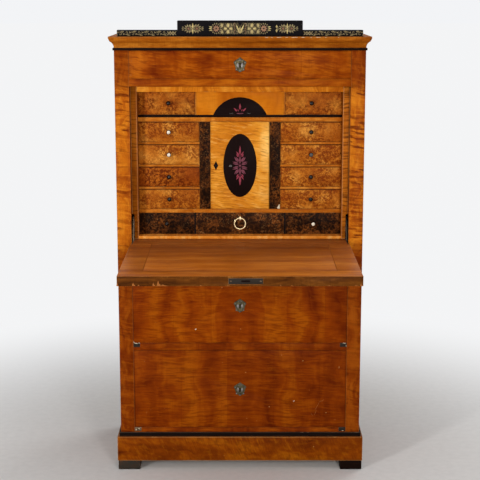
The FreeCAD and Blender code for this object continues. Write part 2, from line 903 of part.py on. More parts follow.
flap = board(
    "flap_blank",
    centred("flap_half"),
    ("flap_edge", "pivot_y + pivot_depth"),
    ("flap_under", "writing_level"),
)
heel = board(
    "flap_heel",
    centred("flap_half"),
    ("pivot_y", "pivot_y + pivot_depth"),
    ("flap_under", "pivot_z"),
)
heel_round = rod("flap_heel_round", "x", "pivot_depth", "2 * flap_half", "-flap_half", "pivot_y", "pivot_z")
tools = [cut("flap_heel_waste", heel, heel_round)]
for side, span in SIDES.items():
    tools.append(
        board(
            f"flap_notch_{side}",
            span(("slot_inner", "flap_half")),
            ("pivot_y - stay_leg_length", "pivot_y + pivot_depth"),
            ("flap_under", "writing_level"),
        )
    )

STRING_RUNS = {
    "left": (
        ("border_width - flap_half", "border_width - flap_half + inlay_width"),
        ("flap_edge + border_width", "pivot_y - border_width"),
    ),
    "right": (
        ("flap_half - border_width - inlay_width", "flap_half - border_width"),
        ("flap_edge + border_width", "pivot_y - border_width"),
    ),
    "front": (
        centred("flap_half - border_width - inlay_width"),
        ("flap_edge + border_width", "flap_edge + border_width + inlay_width"),
    ),
    "back": (
        centred("flap_half - border_width - inlay_width"),
        ("pivot_y - border_width - inlay_width", "pivot_y - border_width"),
    ),
}
strings = []
for name, (across, along) in STRING_RUNS.items():
    depth = ("writing_level - inlay_depth", "writing_level")
    tools.append(board(f"flap_groove_{name}", across, along, depth))
    strings.append(board(f"flap_string_{name}", across, along, depth))

LOCK_PLACE = {
    "selvedge": (
        ("lock_offset - selvedge_width / 2", "lock_offset + selvedge_width / 2"),
        ("flap_edge", "flap_edge + selvedge_thickness"),
        ("flap_middle - selvedge_height / 2", "flap_middle + selvedge_height / 2"),
    ),
    "case": (
        ("lock_offset - lock_width / 2", "lock_offset + lock_width / 2"),
        ("flap_edge + selvedge_thickness", "lock_mid + lock_height / 2"),
        ("flap_middle - lock_thickness / 2", "flap_middle + lock_thickness / 2"),
    ),
}
lock_parts = []
for name, place in LOCK_PLACE.items():
    tools.append(board(f"flap_mortise_{name}", *place))
    lock_parts.append(board(f"flap_lock_{name}", *place))
tools.append(
    rod(
        "flap_keyhole_bore",
        "z",
        "keyhole_radius",
        "flap_thickness / 2",
        "lock_offset",
        "lock_mid",
        "flap_under",
    )
)
node("flap_panel", cut("flap_panel", flap, *tools))
node("flap_stringing", group("flap_stringing", strings))
node("flap_lock", fuse("flap_lock", *lock_parts))

STAY_CORNERS = [
    ("-stay_leg_length", "stay_leg_width / 2"),
    ("-stay_leg_length", "-stay_leg_width / 2"),
    ("stay_leg_width / 2", "-stay_leg_width / 2"),
    ("stay_leg_width / 2", "0"),
    ("stay_tail_depth + stay_tail_width / 2", "stay_tail_height"),
    ("stay_tail_depth - stay_tail_width / 2", "stay_tail_height"),
    ("-stay_tail_width / 2", "stay_leg_width / 2"),
]
stays = []
bearings = []
for side, span in SIDES.items():
    iron = plate(f"stay_iron_{side}", "YZ_Plane", STAY_CORNERS, "stay_thickness")
    locate(iron, "stay_inner" if side == "right" else "-stay_outer", "pivot_y", "pivot_z")
    pin_length = "opening_half + pivot_reach - stay_inner"
    pin_start = "stay_inner" if side == "right" else "-(opening_half + pivot_reach)"
    pin = rod(f"stay_pin_{side}", "x", "pivot_radius", pin_length, pin_start, "pivot_y", "pivot_z")
    stays.append(fuse(f"flap_stay_{side}", iron, pin))
    leaf = board(
        f"bearing_leaf_{side}",
        span(("opening_half", "opening_half + bearing_thickness")),
        ("pivot_y - bearing_width / 2", "pivot_y + bearing_width / 2"),
        ("pivot_z - bearing_depth", "pivot_z + bearing_height"),
    )
    bore = rod(
        f"bearing_bore_{side}",
        "x",
        "pivot_radius + running_clearance",
        "bearing_thickness",
        "opening_half" if side == "right" else "-(opening_half + bearing_thickness)",
        "pivot_y",
        "pivot_z",
    )
    bearings.append(cut(f"bearing_{side}", leaf, bore))
node("flap_stays", group("flap_stays", stays))
node("flap_bearings", group("flap_bearings", bearings))


def escutcheon(name, turned):
    """A cast keyhole plate with its keyhole at its own origin."""
    right = [(f"{u} * escutcheon_width", f"{v} * escutcheon_height") for u, v in ESCUTCHEON_SHARES]
    left = [(f"-{u} * escutcheon_width", f"{v} * escutcheon_height") for u, v in ESCUTCHEON_SHARES[-2:0:-1]]
    cast = plate(f"{name}_cast", "XZ_Plane", right + left, "escutcheon_thickness")
    eye = rod(
        f"{name}_eye",
        "y",
        "keyhole_radius",
        "2 * escutcheon_thickness",
        "0",
        "-2 * escutcheon_thickness",
        "0",
    )
    slot = board(
        f"{name}_slot",
        centred("keyhole_slot / 2"),
        ("-2 * escutcheon_thickness", "0"),
        ("-keyhole_drop", "0"),
    )
    whole = cut(name, cast, eye, slot)
    if turned:
        whole.Placement = FreeCAD.Placement(
            FreeCAD.Vector(), FreeCAD.Rotation(FreeCAD.Vector(1, 0, 0), 90)
        )
    return whole


flap_plate = escutcheon("flap_escutcheon", True)
locate(flap_plate, "lock_offset", "lock_mid", "flap_under")
node("flap_escutcheon", flap_plate)

# Long drawers and their locks.


def tray(name, x, y, z, front, side, bottom, lift, step, bores=()):
    """The five boards of a drawer: front, two sides, back and bottom."""
    face = board(f"{name}_front", x, (y[0], f"{y[0]} + {front}"), z)
    if bores:
        face = cut(f"{name}_front_bored", face, *bores)
    inner = (f"{x[0]} + {side}", f"{x[1]} - {side}")
    behind = f"{y[0]} + {front}"
    rim = f"{z[1]} - {step}"
    base = (f"{z[0]} + {lift}", f"{z[0]} + {lift} + {bottom}")
    return [
        face,
        board(f"{name}_side_left", (x[0], inner[0]), (behind, y[1]), (z[0], rim)),
        board(f"{name}_side_right", (inner[1], x[1]), (behind, y[1]), (z[0], rim)),
        board(f"{name}_back", inner, (f"{y[1]} - {side}", y[1]), (base[1], rim)),
        board(f"{name}_bottom", inner, (behind, y[1]), base),
    ]


LONG_DRAWERS = {
    "frieze_drawer": ("frieze_floor", "frieze_top"),
    "upper_drawer": ("upper_floor", "fall_floor"),
    "lower_drawer": ("lower_floor", "middle_floor"),
}
for name, (floor, top) in LONG_DRAWERS.items():
    middle = f"(({floor}) + ({top})) / 2"
    lock_case = (
        centred("lock_width / 2"),
        ("front + drawer_front - lock_thickness", "front + drawer_front"),
        (f"{middle} - lock_height / 2", f"{middle} + lock_height / 2"),
    )
    bore = rod(f"{name}_bore", "y", "keyhole_radius", "drawer_front", "0", "front", middle)
    node(
        name,
        group(
            name,
            tray(
                name,
                centred("opening_half - drawer_gap"),
                ("front", "inner_back - drawer_room"),
                (f"{floor} + drawer_gap", f"{top} - drawer_gap"),
                "drawer_front",
                "drawer_side",
                "drawer_bottom",
                "drawer_lift",
                "drawer_step",
                (board(f"{name}_mortise", *lock_case), bore),
            ),
        ),
    )
    keyhole_plate = escutcheon(f"{name}_escutcheon", False)
    locate(keyhole_plate, "0", "front", middle)
    node(f"{name}_lock", group(f"{name}_lock", [board(f"{name}_lock_case", *lock_case), keyhole_plate]))

# Small drawers of the fitment, each with a turned knob; the middle dark one has a ring pull.


def knob(name, x, z):
    """A turned knob seated on a drawer front."""
    seat = rod(f"{name}_seat", "y", "knob_seat", "knob_plate", x, "fitment_front - knob_plate", z)
    neck = rod(f"{name}_neck", "y", "knob_neck", "knob_neck_length", x, "fitment_front - knob_neck_length", z)
    head = doc.addObject("Part::Sphere", f"{name}_head")
    bind(head, Radius="knob_radius")
    locate(head, x, "fitment_front - knob_neck_length - knob_radius / 2", z)
    return fuse(name, seat, neck, head)


def small_drawer(name, x, z, pull):
    """One small drawer with its pull as a separate solid."""
    room = (f"{x[0]} + small_gap", f"{x[1]} - small_gap")
    height = (f"{z[0]} + small_gap", f"{z[1]} - small_gap")
    boards = tray(
        name,
        room,
        ("fitment_front", "fitment_rear - small_room"),
        height,
        "small_front",
        "small_side",
        "small_bottom",
        "small_lift",
        "small_step",
    )
    return node(name, group(name, boards + [pull]))


for side, span in SIDES.items():
    sign = "-" if side == "left" else ""
    for k in range(TIERS):
        floor = f"middle_block_floor + {k} * (tier + divider)"
        name = f"tier_drawer_{side}_{TIERS - k}"
        pull = knob(f"{name}_knob", f"{sign}(tier_middle)", f"{floor} + tier / 2")
        small_drawer(name, span(("bay_inner", "fitment_half")), (floor, f"{floor} + tier"), pull)
    name = f"top_drawer_{side}"
    pull = knob(f"{name}_knob", f"{sign}(tier_middle)", "(top_row_floor + top_row_top) / 2")
    small_drawer(name, span(("top_bay_inner", "fitment_half")), ("top_row_floor", "top_row_top"), pull)
    name = f"dark_drawer_{side}"
    pull = knob(f"{name}_knob", f"{sign}(dark_middle)", "row_floor + bottom_row / 2")
    small_drawer(name, span(("bottom_bay_inner", "fitment_half")), ("row_floor", "lower_shelf_floor"), pull)

staple_block = board(
    "ring_staple_block",
    centred("staple_width / 2"),
    ("ring_y - staple_height / 2", "fitment_front"),
    ("ring_z - staple_height / 2", "ring_z + staple_height / 2"),
)
staple_bore = rod(
    "ring_staple_bore",
    "x",
    "ring_wire + ring_room",
    "staple_width",
    "-staple_width / 2",
    "ring_y",
    "ring_z",
)
small_drawer(
    "dark_drawer_middle",
    centred("lower_half"),
    ("row_floor", "lower_shelf_floor"),
    cut("ring_staple", staple_block, staple_bore),
)

ring = doc.addObject("Part::Torus", "ring_pull")
ring.Placement = FreeCAD.Placement(FreeCAD.Vector(), TURNS["y"])
bind(ring, Radius1="ring_radius", Radius2="ring_wire")
locate(ring, "0", "ring_y", "ring_z - ring_radius")
node("ring_pull", ring)

# Cupboard door, hung on two pins at its right edge, with its ebonised inlays.


def oval(name, grow):
    """An oval plug set into the door face."""
    curve = doc.addObject("Part::Ellipse", f"{name}_curve")
    bind(curve, MajorRadius=f"middle_block / 2 - oval_margin + {grow}")
    bind(curve, MinorRadius=f"oval_width / 2 + {grow}")
    upright = FreeCAD.Rotation(FreeCAD.Vector(0, 1, 0), 90)
    facing = FreeCAD.Rotation(FreeCAD.Vector(0, 0, 1), -90).multiply(upright)
    curve.Placement = FreeCAD.Placement(FreeCAD.Vector(), facing)
    locate(curve, "0", "fitment_front", "door_centre")
    plug = doc.addObject("Part::Extrusion", name)
    plug.Base = curve
    plug.DirMode = "Custom"
    plug.Dir = FreeCAD.Vector(0, 1, 0)
    plug.Solid = True
    return bind(plug, LengthFwd="oval_depth")


def lozenge(name):
    """A four-cornered plug around the door keyhole."""
    corners = [
        ("0", "lozenge_height / 2"),
        ("-lozenge_width / 2", "0"),
        ("0", "-lozenge_height / 2"),
        ("lozenge_width / 2", "0"),
    ]
    plug = plate(name, "XZ_Plane", corners, "oval_depth")
    return locate(plug, "-lozenge_offset", "fitment_front + oval_depth", "door_centre")


door = board(
    "cupboard_door_blank",
    centred("door_edge"),
    ("fitment_front", "fitment_front + door_thickness"),
    ("door_floor", "door_top"),
)
door_corner = board(
    "door_corner",
    ("door_pivot_x", "door_edge"),
    ("fitment_front", "door_pivot_y"),
    ("door_floor", "door_top"),
)
door_round = rod(
    "door_round",
    "z",
    "door_pivot_inset",
    "door_top - (door_floor)",
    "door_pivot_x",
    "door_pivot_y",
    "door_floor",
)
PIN_FLOORS = {
    "lower": ("middle_block_floor", "door_floor"),
    "upper": (
        "upper_shelf_floor - door_pin_length",
        "upper_shelf_floor - door_pin_length - door_pin_room",
    ),
}
door_tools = [
    cut("door_corner_waste", door_corner, door_round),
    oval("door_oval_seat", "inlay_clearance"),
    lozenge("door_lozenge_seat"),
]
pins = []
for name, (pin_floor, hole_floor) in PIN_FLOORS.items():
    door_tools.append(
        rod(
            f"door_pin_hole_{name}",
            "z",
            "door_pin_radius + running_clearance",
            "door_pin_length + door_pin_room",
            "door_pivot_x",
            "door_pivot_y",
            hole_floor,
        )
    )
    pins.append(
        rod(
            f"door_pin_{name}",
            "z",
            "door_pin_radius",
            "door_pin_length",
            "door_pivot_x",
            "door_pivot_y",
            pin_floor,
        )
    )
node("cupboard_door", cut("cupboard_door", door, *door_tools))
node("door_inlays", group("door_inlays", [oval("door_oval", "0"), lozenge("door_lozenge")]))
node("door_pivots", group("door_pivots", pins))

doc.recompute()
for item in doc.Objects:
    if "Invalid" in item.State:
        raise RuntimeError(f"{item.Label} did not build: {item.State}")
for item in NODES:
    if item.Shape.isNull() or not item.Shape.isValid() or not item.Shape.Solids:
        raise RuntimeError(f"{item.Label} has no sound solid")

os.makedirs("parts", exist_ok=True)
for item in NODES:
    item.Shape.exportStep(os.path.join("parts", f"{item.Label}.step"))
print(len(NODES), "parts written")
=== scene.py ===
"""Fall-front escritoire in figured birch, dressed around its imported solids."""

import json
import logging
import math
import random
import zlib
from dataclasses import dataclass, field
from enum import Enum
from functools import cache
from types import SimpleNamespace
from typing import Any, Callable, Iterable, Sequence

import bmesh
import bpy
from mathutils import Matrix, Vector


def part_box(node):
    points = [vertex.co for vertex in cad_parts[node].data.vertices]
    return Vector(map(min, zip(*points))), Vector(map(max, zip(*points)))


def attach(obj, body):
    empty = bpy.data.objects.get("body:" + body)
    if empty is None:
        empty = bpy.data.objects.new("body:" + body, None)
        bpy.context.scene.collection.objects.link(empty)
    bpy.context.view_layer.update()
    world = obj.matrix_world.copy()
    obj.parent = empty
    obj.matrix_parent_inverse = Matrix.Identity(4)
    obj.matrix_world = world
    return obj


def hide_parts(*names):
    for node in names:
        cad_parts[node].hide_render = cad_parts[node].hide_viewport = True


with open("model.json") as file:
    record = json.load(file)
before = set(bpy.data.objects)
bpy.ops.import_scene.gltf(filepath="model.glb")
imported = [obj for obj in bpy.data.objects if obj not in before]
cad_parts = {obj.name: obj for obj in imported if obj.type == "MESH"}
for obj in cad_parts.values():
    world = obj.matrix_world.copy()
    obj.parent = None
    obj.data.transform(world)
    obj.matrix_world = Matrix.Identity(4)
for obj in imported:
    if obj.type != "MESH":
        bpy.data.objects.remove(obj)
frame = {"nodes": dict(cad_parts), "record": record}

LOG = logging.getLogger("escritoire")
MM = 0.001
WELD = 0.002 * MM
FLAT = math.radians(0.4)
BEND = math.radians(32)
EDGE_SHARE = 0.3
SEEDS, SEED_STEP = 9973, 997.3
Colour = tuple[int, int, int]
Point = tuple[float, float]
Outline = list[Point]
Mesh = bmesh.types.BMesh


class Axis(Enum):
    """Axis that a board's grain runs along."""

    X = 0
    Y = 1
    Z = 2


class Facing(Enum):
    """Side of a board that may take its own finish, as its axis and direction."""

    REAR = (1, 1)
    TOP = (2, 1)
    UNDER = (2, -1)
    LEFT = (0, -1)
    RIGHT = (0, 1)


class Slot(Enum):
    """Material slots of the record."""

    FIGURED = "figured_birch"
    INTERIOR = "interior_birch"
    BURL = "burl_birch"
    MOTTLED = "mottled_lacquer"
    EBONY = "ebonised_wood"
    PINE = "pine"
    IRON = "wrought_iron"
    BRASS = "aged_brass"


class Effect(Enum):
    """Shared effects, each with the names of its inputs."""

    BOARD = ()
    FIBRE = ("place", "along", "across", "slant", "wander")
    LEAVES = ("place", "seed", "width")
    WEAR = ("place", "edge", "rim", "width", "amount")
    SPECKS = ("place", "scale", "amount")
    BURL = ("place", "scale")
    DUST = ("place", "amount")

    @cache
    def tree(self) -> bpy.types.NodeTree:
        """The effect's node group, made when it is first asked for."""
        return EffectTree(self).tree


def linear(colour: Colour) -> tuple[float, ...]:
    """Turns a display colour of 0 to 255 into linear red, green, blue and alpha."""
    shares = [part / 255 for part in colour]
    return (*(s / 12.92 if s <= 0.04045 else ((s + 0.055) / 1.055) ** 2.4 for s in shares), 1)


class Value:
    """An output in a shader tree, which sums can be written with."""

    def __init__(self, graph: "Graph", socket: bpy.types.NodeSocket) -> None:
        """Keeps the output and its graph."""
        self.graph, self.socket = graph, socket

    def __add__(self, other: Any) -> "Value":
        """The sum of two values."""
        return self.graph.math("ADD", self, other)

    def __sub__(self, other: Any) -> "Value":
        """The difference of two values."""
        return self.graph.math("SUBTRACT", self, other)

    def __rsub__(self, other: float) -> "Value":
        """What this value leaves of a number."""
        return self.graph.math("SUBTRACT", other, self)

    def __mul__(self, other: Any) -> "Value":
        """The product of two values."""
        return self.graph.math("MULTIPLY", self, other)

    def larger(self, other: Any) -> "Value":
        """The larger of two values."""
        return self.graph.math("MAXIMUM", self, other)

    def smaller(self, other: Any) -> "Value":
        """The smaller of two values."""
        return self.graph.math("MINIMUM", self, other)

    def fract(self) -> "Value":
        """The part of this value after the point."""
        return self.graph.math("FRACT", self)

    def split(self) -> list["Value"]:
        """The three parts of a vector."""
        made = self.graph.add("ShaderNodeSeparateXYZ", {0: self})
        return [Value(self.graph, socket) for socket in made.outputs]

    def step(self, low: Any, high: Any, floor: float = 0.0, top: float = 1.0) -> "Value":
        """A smooth step from floor to top as this value goes from low to high."""
        inputs = {"Value": self, "From Min": low, "From Max": high, "To Min": floor, "To Max": top}
        return self.graph.out("ShaderNodeMapRange", inputs, interpolation_type="SMOOTHSTEP")

    def lay(self, share: Any, tone: Any, mode: str = "MIX") -> "Value":
        """This colour with a tone laid over it by a share."""
        return self.graph.blend(share, self, tone, mode)

    def ramp(self, *stops: tuple[float, Colour]) -> "Value":
        """Turns this value into a colour.

        Args:
            stops: places and colours along the ramp.

        Returns:
            The colour.
        """
        made = self.graph.add("ShaderNodeValToRGB", {0: self})
        elements = made.color_ramp.elements
        while len(elements) < len(stops):
            elements.new(0.5)
        for element, (place, colour) in zip(elements, stops):
            element.position, element.color = place, linear(colour)
        return Value(self.graph, made.outputs[0])


class Graph:
    """Places and links nodes in one shader tree."""

    def __init__(self, tree: bpy.types.NodeTree) -> None:
        """Keeps the tree that the nodes go into."""
        self.tree = tree

    def feed(self, socket: bpy.types.NodeSocket, value: Any) -> None:
        """Links a value to a socket, or sets the socket's own number or colour.

        Args:
            socket: where it goes.
            value: an output, a number, a colour or nothing.
        """
        if isinstance(value, Value):
            self.tree.links.new(value.socket, socket)
        elif value is not None:
            socket.default_value = value

    def add(self, kind: str, inputs: dict | None = None, **settings: Any) -> bpy.types.Node:
        """Adds a node.

        Args:
            kind: the node's type name.
            inputs: what goes into each socket, by name or number.
            settings: properties of the node itself.

        Returns:
            The new node.
        """
        made = self.tree.nodes.new(kind)
        row, column = divmod(len(self.tree.nodes), 9)
        made.location = (220 * column, -180 * row)
        for name, value in settings.items():
            setattr(made, name, value)
        for name, value in (inputs or {}).items():
            self.feed(made.inputs[name], value)
        return made

    def out(self, kind: str, inputs: dict | None = None, output: Any = 0, **settings: Any) -> Value:
        """Adds a node and gives one of its outputs."""
        return Value(self, self.add(kind, inputs, **settings).outputs[output])

    def math(self, operation: str, first: Any, second: Any = None) -> Value:
        """A sum of one or two values."""
        return self.out("ShaderNodeMath", {0: first, 1: second}, operation=operation)

    def vector(self, operation: str, first: Any, second: Any) -> Value:
        """A sum of two vectors."""
        return self.out("ShaderNodeVectorMath", {0: first, 1: second}, operation=operation)

    def scaled(self, vector: Any, factor: Any) -> Value:
        """A vector times a number."""
        return self.out("ShaderNodeVectorMath", {0: vector, "Scale": factor}, operation="SCALE")

    def join(self, x: Any, y: Any, z: Any) -> Value:
        """A vector of three values."""
        return self.out("ShaderNodeCombineXYZ", {0: x, 1: y, 2: z})

    def noise(self, place: Value, scale: float, detail: float = 2.0, rough: float = 0.5, output: Any = 0) -> Value:
        """A cloudy noise."""
        inputs = {"Vector": place, "Scale": scale, "Detail": detail, "Roughness": rough}
        return self.out("ShaderNodeTexNoise", inputs, output)

    def blend(self, share: Any, first: Any, second: Any, mode: str = "MIX") -> Value:
        """Mixes two colours.

        Args:
            share: how much of the second colour shows.
            first: the colour below.
            second: the colour above.
            mode: how the two are mixed.

        Returns:
            The mixed colour.
        """
        tones = [linear(tone) if isinstance(tone, tuple) else tone for tone in (first, second)]
        inputs = {0: share, 6: tones[0], 7: tones[1]}
        return self.out("ShaderNodeMix", inputs, 2, data_type="RGBA", blend_type=mode, clamp_factor=True)


class EffectTree(Graph):
    """The node group of one shared effect, which the method of its name draws."""

    def __init__(self, effect: Effect) -> None:
        """Makes the group with its sockets and draws the effect.

        Args:
            effect: which effect.
        """
        name = effect.name.lower()
        super().__init__(bpy.data.node_groups.new(name, "ShaderNodeTree"))
        for label in effect.value:
            self.socket(label, "INPUT", label == "place")
        entry = self.add("NodeGroupInput")
        self.given = SimpleNamespace(**{label: Value(self, entry.outputs[label]) for label in effect.value})
        getattr(self, name)()

    def socket(self, label: str, side: str, vector: bool) -> None:
        """Gives the group one more socket."""
        kind = "NodeSocketVector" if vector else "NodeSocketFloat"
        self.tree.interface.new_socket(name=label, in_out=side, socket_type=kind)

    def give(self, **made: Value) -> None:
        """Makes the group's outputs.

        Args:
            made: the values by the names of the outputs.
        """
        for label, value in made.items():
            self.socket(label, "OUTPUT", value.socket.type == "VECTOR")
        self.add("NodeGroupOutput", made)

    def board(self) -> None:
        """Place on a board: grain coordinates, distance to its edges and rubbed rim."""
        place, reach, seed, rim = (
            self.out("ShaderNodeAttribute", None, part, attribute_name=name)
            for name, part in (("board", "Vector"), ("reach", "Vector"), ("seed", "Fac"), ("rim", "Fac"))
        )
        shift = self.scaled((3.1, 5.7, 8.3), seed)
        here = place.split()
        far = self.vector("SUBTRACT", reach, place).split()
        first, second, third = (one.smaller(other) for one, other in zip(here, far))
        off = self.math("ABSOLUTE", here[1] - far[1]) * 0.5
        self.give(
            coordinate=self.vector("ADD", place, shift),
            book=self.vector("ADD", self.join(here[0], off, here[2]), shift),
            place=place,
            off_centre=off,
            edge=first.smaller(second).larger(first.larger(second).smaller(third)),
            rim=rim,
            seed=seed,
            below_top=far[1],
        )

    def fibre(self) -> None:
        """Noise drawn out along or across the grain, with a slant and a wander."""
        u, v, w = self.given.place.split()
        drift = (self.noise(self.given.place, 9) - 0.5) * self.given.wander
        along = (u + v * self.given.slant + drift) * self.given.along
        drawn = self.join(along, (v + drift) * self.given.across, w * self.given.across)
        self.give(value=self.noise(drawn, 1, 3, 0.55))

    def leaves(self) -> None:
        """Upright veneer leaves: a tone for each leaf and the thin joints between them."""
        count = self.math("DIVIDE", self.given.place.split()[1], self.given.width) + self.given.seed.fract()
        key = self.math("FLOOR", count) + self.given.seed
        part = count.fract()
        gap = part.smaller(1 - part) * self.given.width
        self.give(
            tone=self.out("ShaderNodeTexWhiteNoise", {"W": key}, "Value", noise_dimensions="1D"),
            joint=gap.step(0.4 * MM, 2.2 * MM, 1, 0),
        )

    def wear(self) -> None:
        """Broken wear along the edges of a board, and dirt with painted shade that darkens the colour near them."""
        patch = self.noise(self.given.place, 38, 3, 0.6)
        fine = self.noise(self.given.place, 260, 2, 0.6)
        near = self.given.edge.step(0, self.given.width, 1, 0)
        limit = 0.92 - self.given.amount * 0.5
        reached = patch * 0.65 + fine * 0.35 + self.given.rim * 0.16
        self.give(
            rubbed=reached.step(limit, limit + 0.1) * near.larger(self.given.rim),
            # Darkening near every edge: dirt, and painted shade where boards meet.
            soil=near * patch.step(0.3, 0.75),
        )

    def specks(self) -> None:
        """Scattered small flecks and fine scratches."""
        bent = self.join(0, self.noise(self.given.place, 120, 2, 0.6) * 0.007, 0)
        moved = self.vector("ADD", self.given.place, bent)
        cell = self.add("ShaderNodeTexVoronoi", {"Vector": moved, "Scale": self.given.scale})
        pick, distance = (Value(self, cell.outputs[name]) for name in ("Color", "Distance"))
        chosen = pick.split()[0].step(1 - self.given.amount, 1)
        u, v, w = self.given.place.split()
        turned = self.join((u + v * 0.35) * 260, (v - u * 0.2) * 16, w * 60)
        self.give(
            fleck=distance.step(0.04, 0.11, 1, 0) * chosen,
            scratch=self.noise(turned, 1).step(0.69, 0.74),
        )

    def burl(self) -> None:
        """Swirling clouds, dark flecks and small eyes of burr wood."""
        base = self.scaled(self.given.place, self.given.scale)
        pull = self.vector("SUBTRACT", self.noise(base, 26, output="Color"), (0.5, 0.5, 0.5))
        swirl = self.vector("ADD", base, self.scaled(pull, 0.016))
        patch = self.noise(swirl, 14, 3, 0.6).step(0.4, 0.56, 0.42, 1)
        self.give(
            cloud=self.noise(swirl, 15, 3, 0.55),
            fleck=self.noise(swirl, 104, 5, 0.8).step(0.45, 0.53) * patch,
            eye=self.noise(swirl, 240, 3, 0.7).step(0.52, 0.62) * patch,
            fine=self.noise(swirl, 420, 2, 0.6),
        )

    def dust(self) -> None:
        """Thin dust that settles where a surface looks upwards."""
        up = self.out("ShaderNodeNewGeometry", None, "Normal").split()[2]
        patchy = self.noise(self.given.place, 11, 4, 0.6).step(0.3, 0.75)
        self.give(mask=up.step(0.55, 0.95) * patchy * self.given.amount)


class Surface(Graph):
    """A material in the making: its shader and the effects on the board that it covers."""

    def __init__(self, name: str) -> None:
        """Makes the material with an empty shader.

        Args:
            name: the material's name.
        """
        self.material = bpy.data.materials.new(name)
        self.material.use_nodes = True
        super().__init__(self.material.node_tree)
        self.tree.nodes.clear()
        self.shader = self.add("ShaderNodeBsdfPrincipled")
        self.add("ShaderNodeOutputMaterial", {"Surface": Value(self, self.shader.outputs[0])})
        self.board = self.effect(Effect.BOARD)

    def effect(self, effect: Effect, **inputs: Any) -> SimpleNamespace:
        """Places a shared effect, at the board's coordinates unless it is given a place.

        Args:
            effect: which effect.
            inputs: what goes into its sockets.

        Returns:
            The effect's outputs by name.
        """
        if "place" in effect.value:
            inputs.setdefault("place", self.board.coordinate)
        made = self.add("ShaderNodeGroup", inputs, node_tree=effect.tree())
        return SimpleNamespace(**{socket.name: Value(self, socket) for socket in made.outputs})

    def fibre(self, along: float, across: float, wander: float, slant: float = 0.0, **place: Value) -> Value:
        """Noise drawn out along or across the grain."""
        return self.effect(Effect.FIBRE, along=along, across=across, wander=wander, slant=slant, **place).value

    def wear(self, width: float, amount: float) -> SimpleNamespace:
        """Wear along the board's edges, and dirt with painted shade near them."""
        return self.effect(Effect.WEAR, edge=self.board.edge, rim=self.board.rim, width=width, amount=amount)

    def lay_all(self, colour: Value, *coats: tuple[Any, Colour]) -> Value:
        """Lays tones over a colour in turn.

        Args:
            colour: the colour below.
            coats: each tone after its share.

        Returns:
            The colour that shows.
        """
        for share, tone in coats:
            colour = colour.lay(share, tone)
        return colour

    def raised(self, height: Value, strength: float, depth: float) -> Value:
        """A normal that is raised by a height."""
        return self.out("ShaderNodeBump", {"Height": height, "Strength": strength, "Distance": depth})

    def shade(self, sockets: dict[str, Any]) -> None:
        """Feeds the shader's sockets by their names."""
        for name, value in sockets.items():
            self.feed(self.shader.inputs[name], value)


class Coating:
    """Base of every finish."""

    def paint(self, face: Surface) -> None:
        """Feeds a surface's shader; each finish does it in its own way."""
        raise NotImplementedError


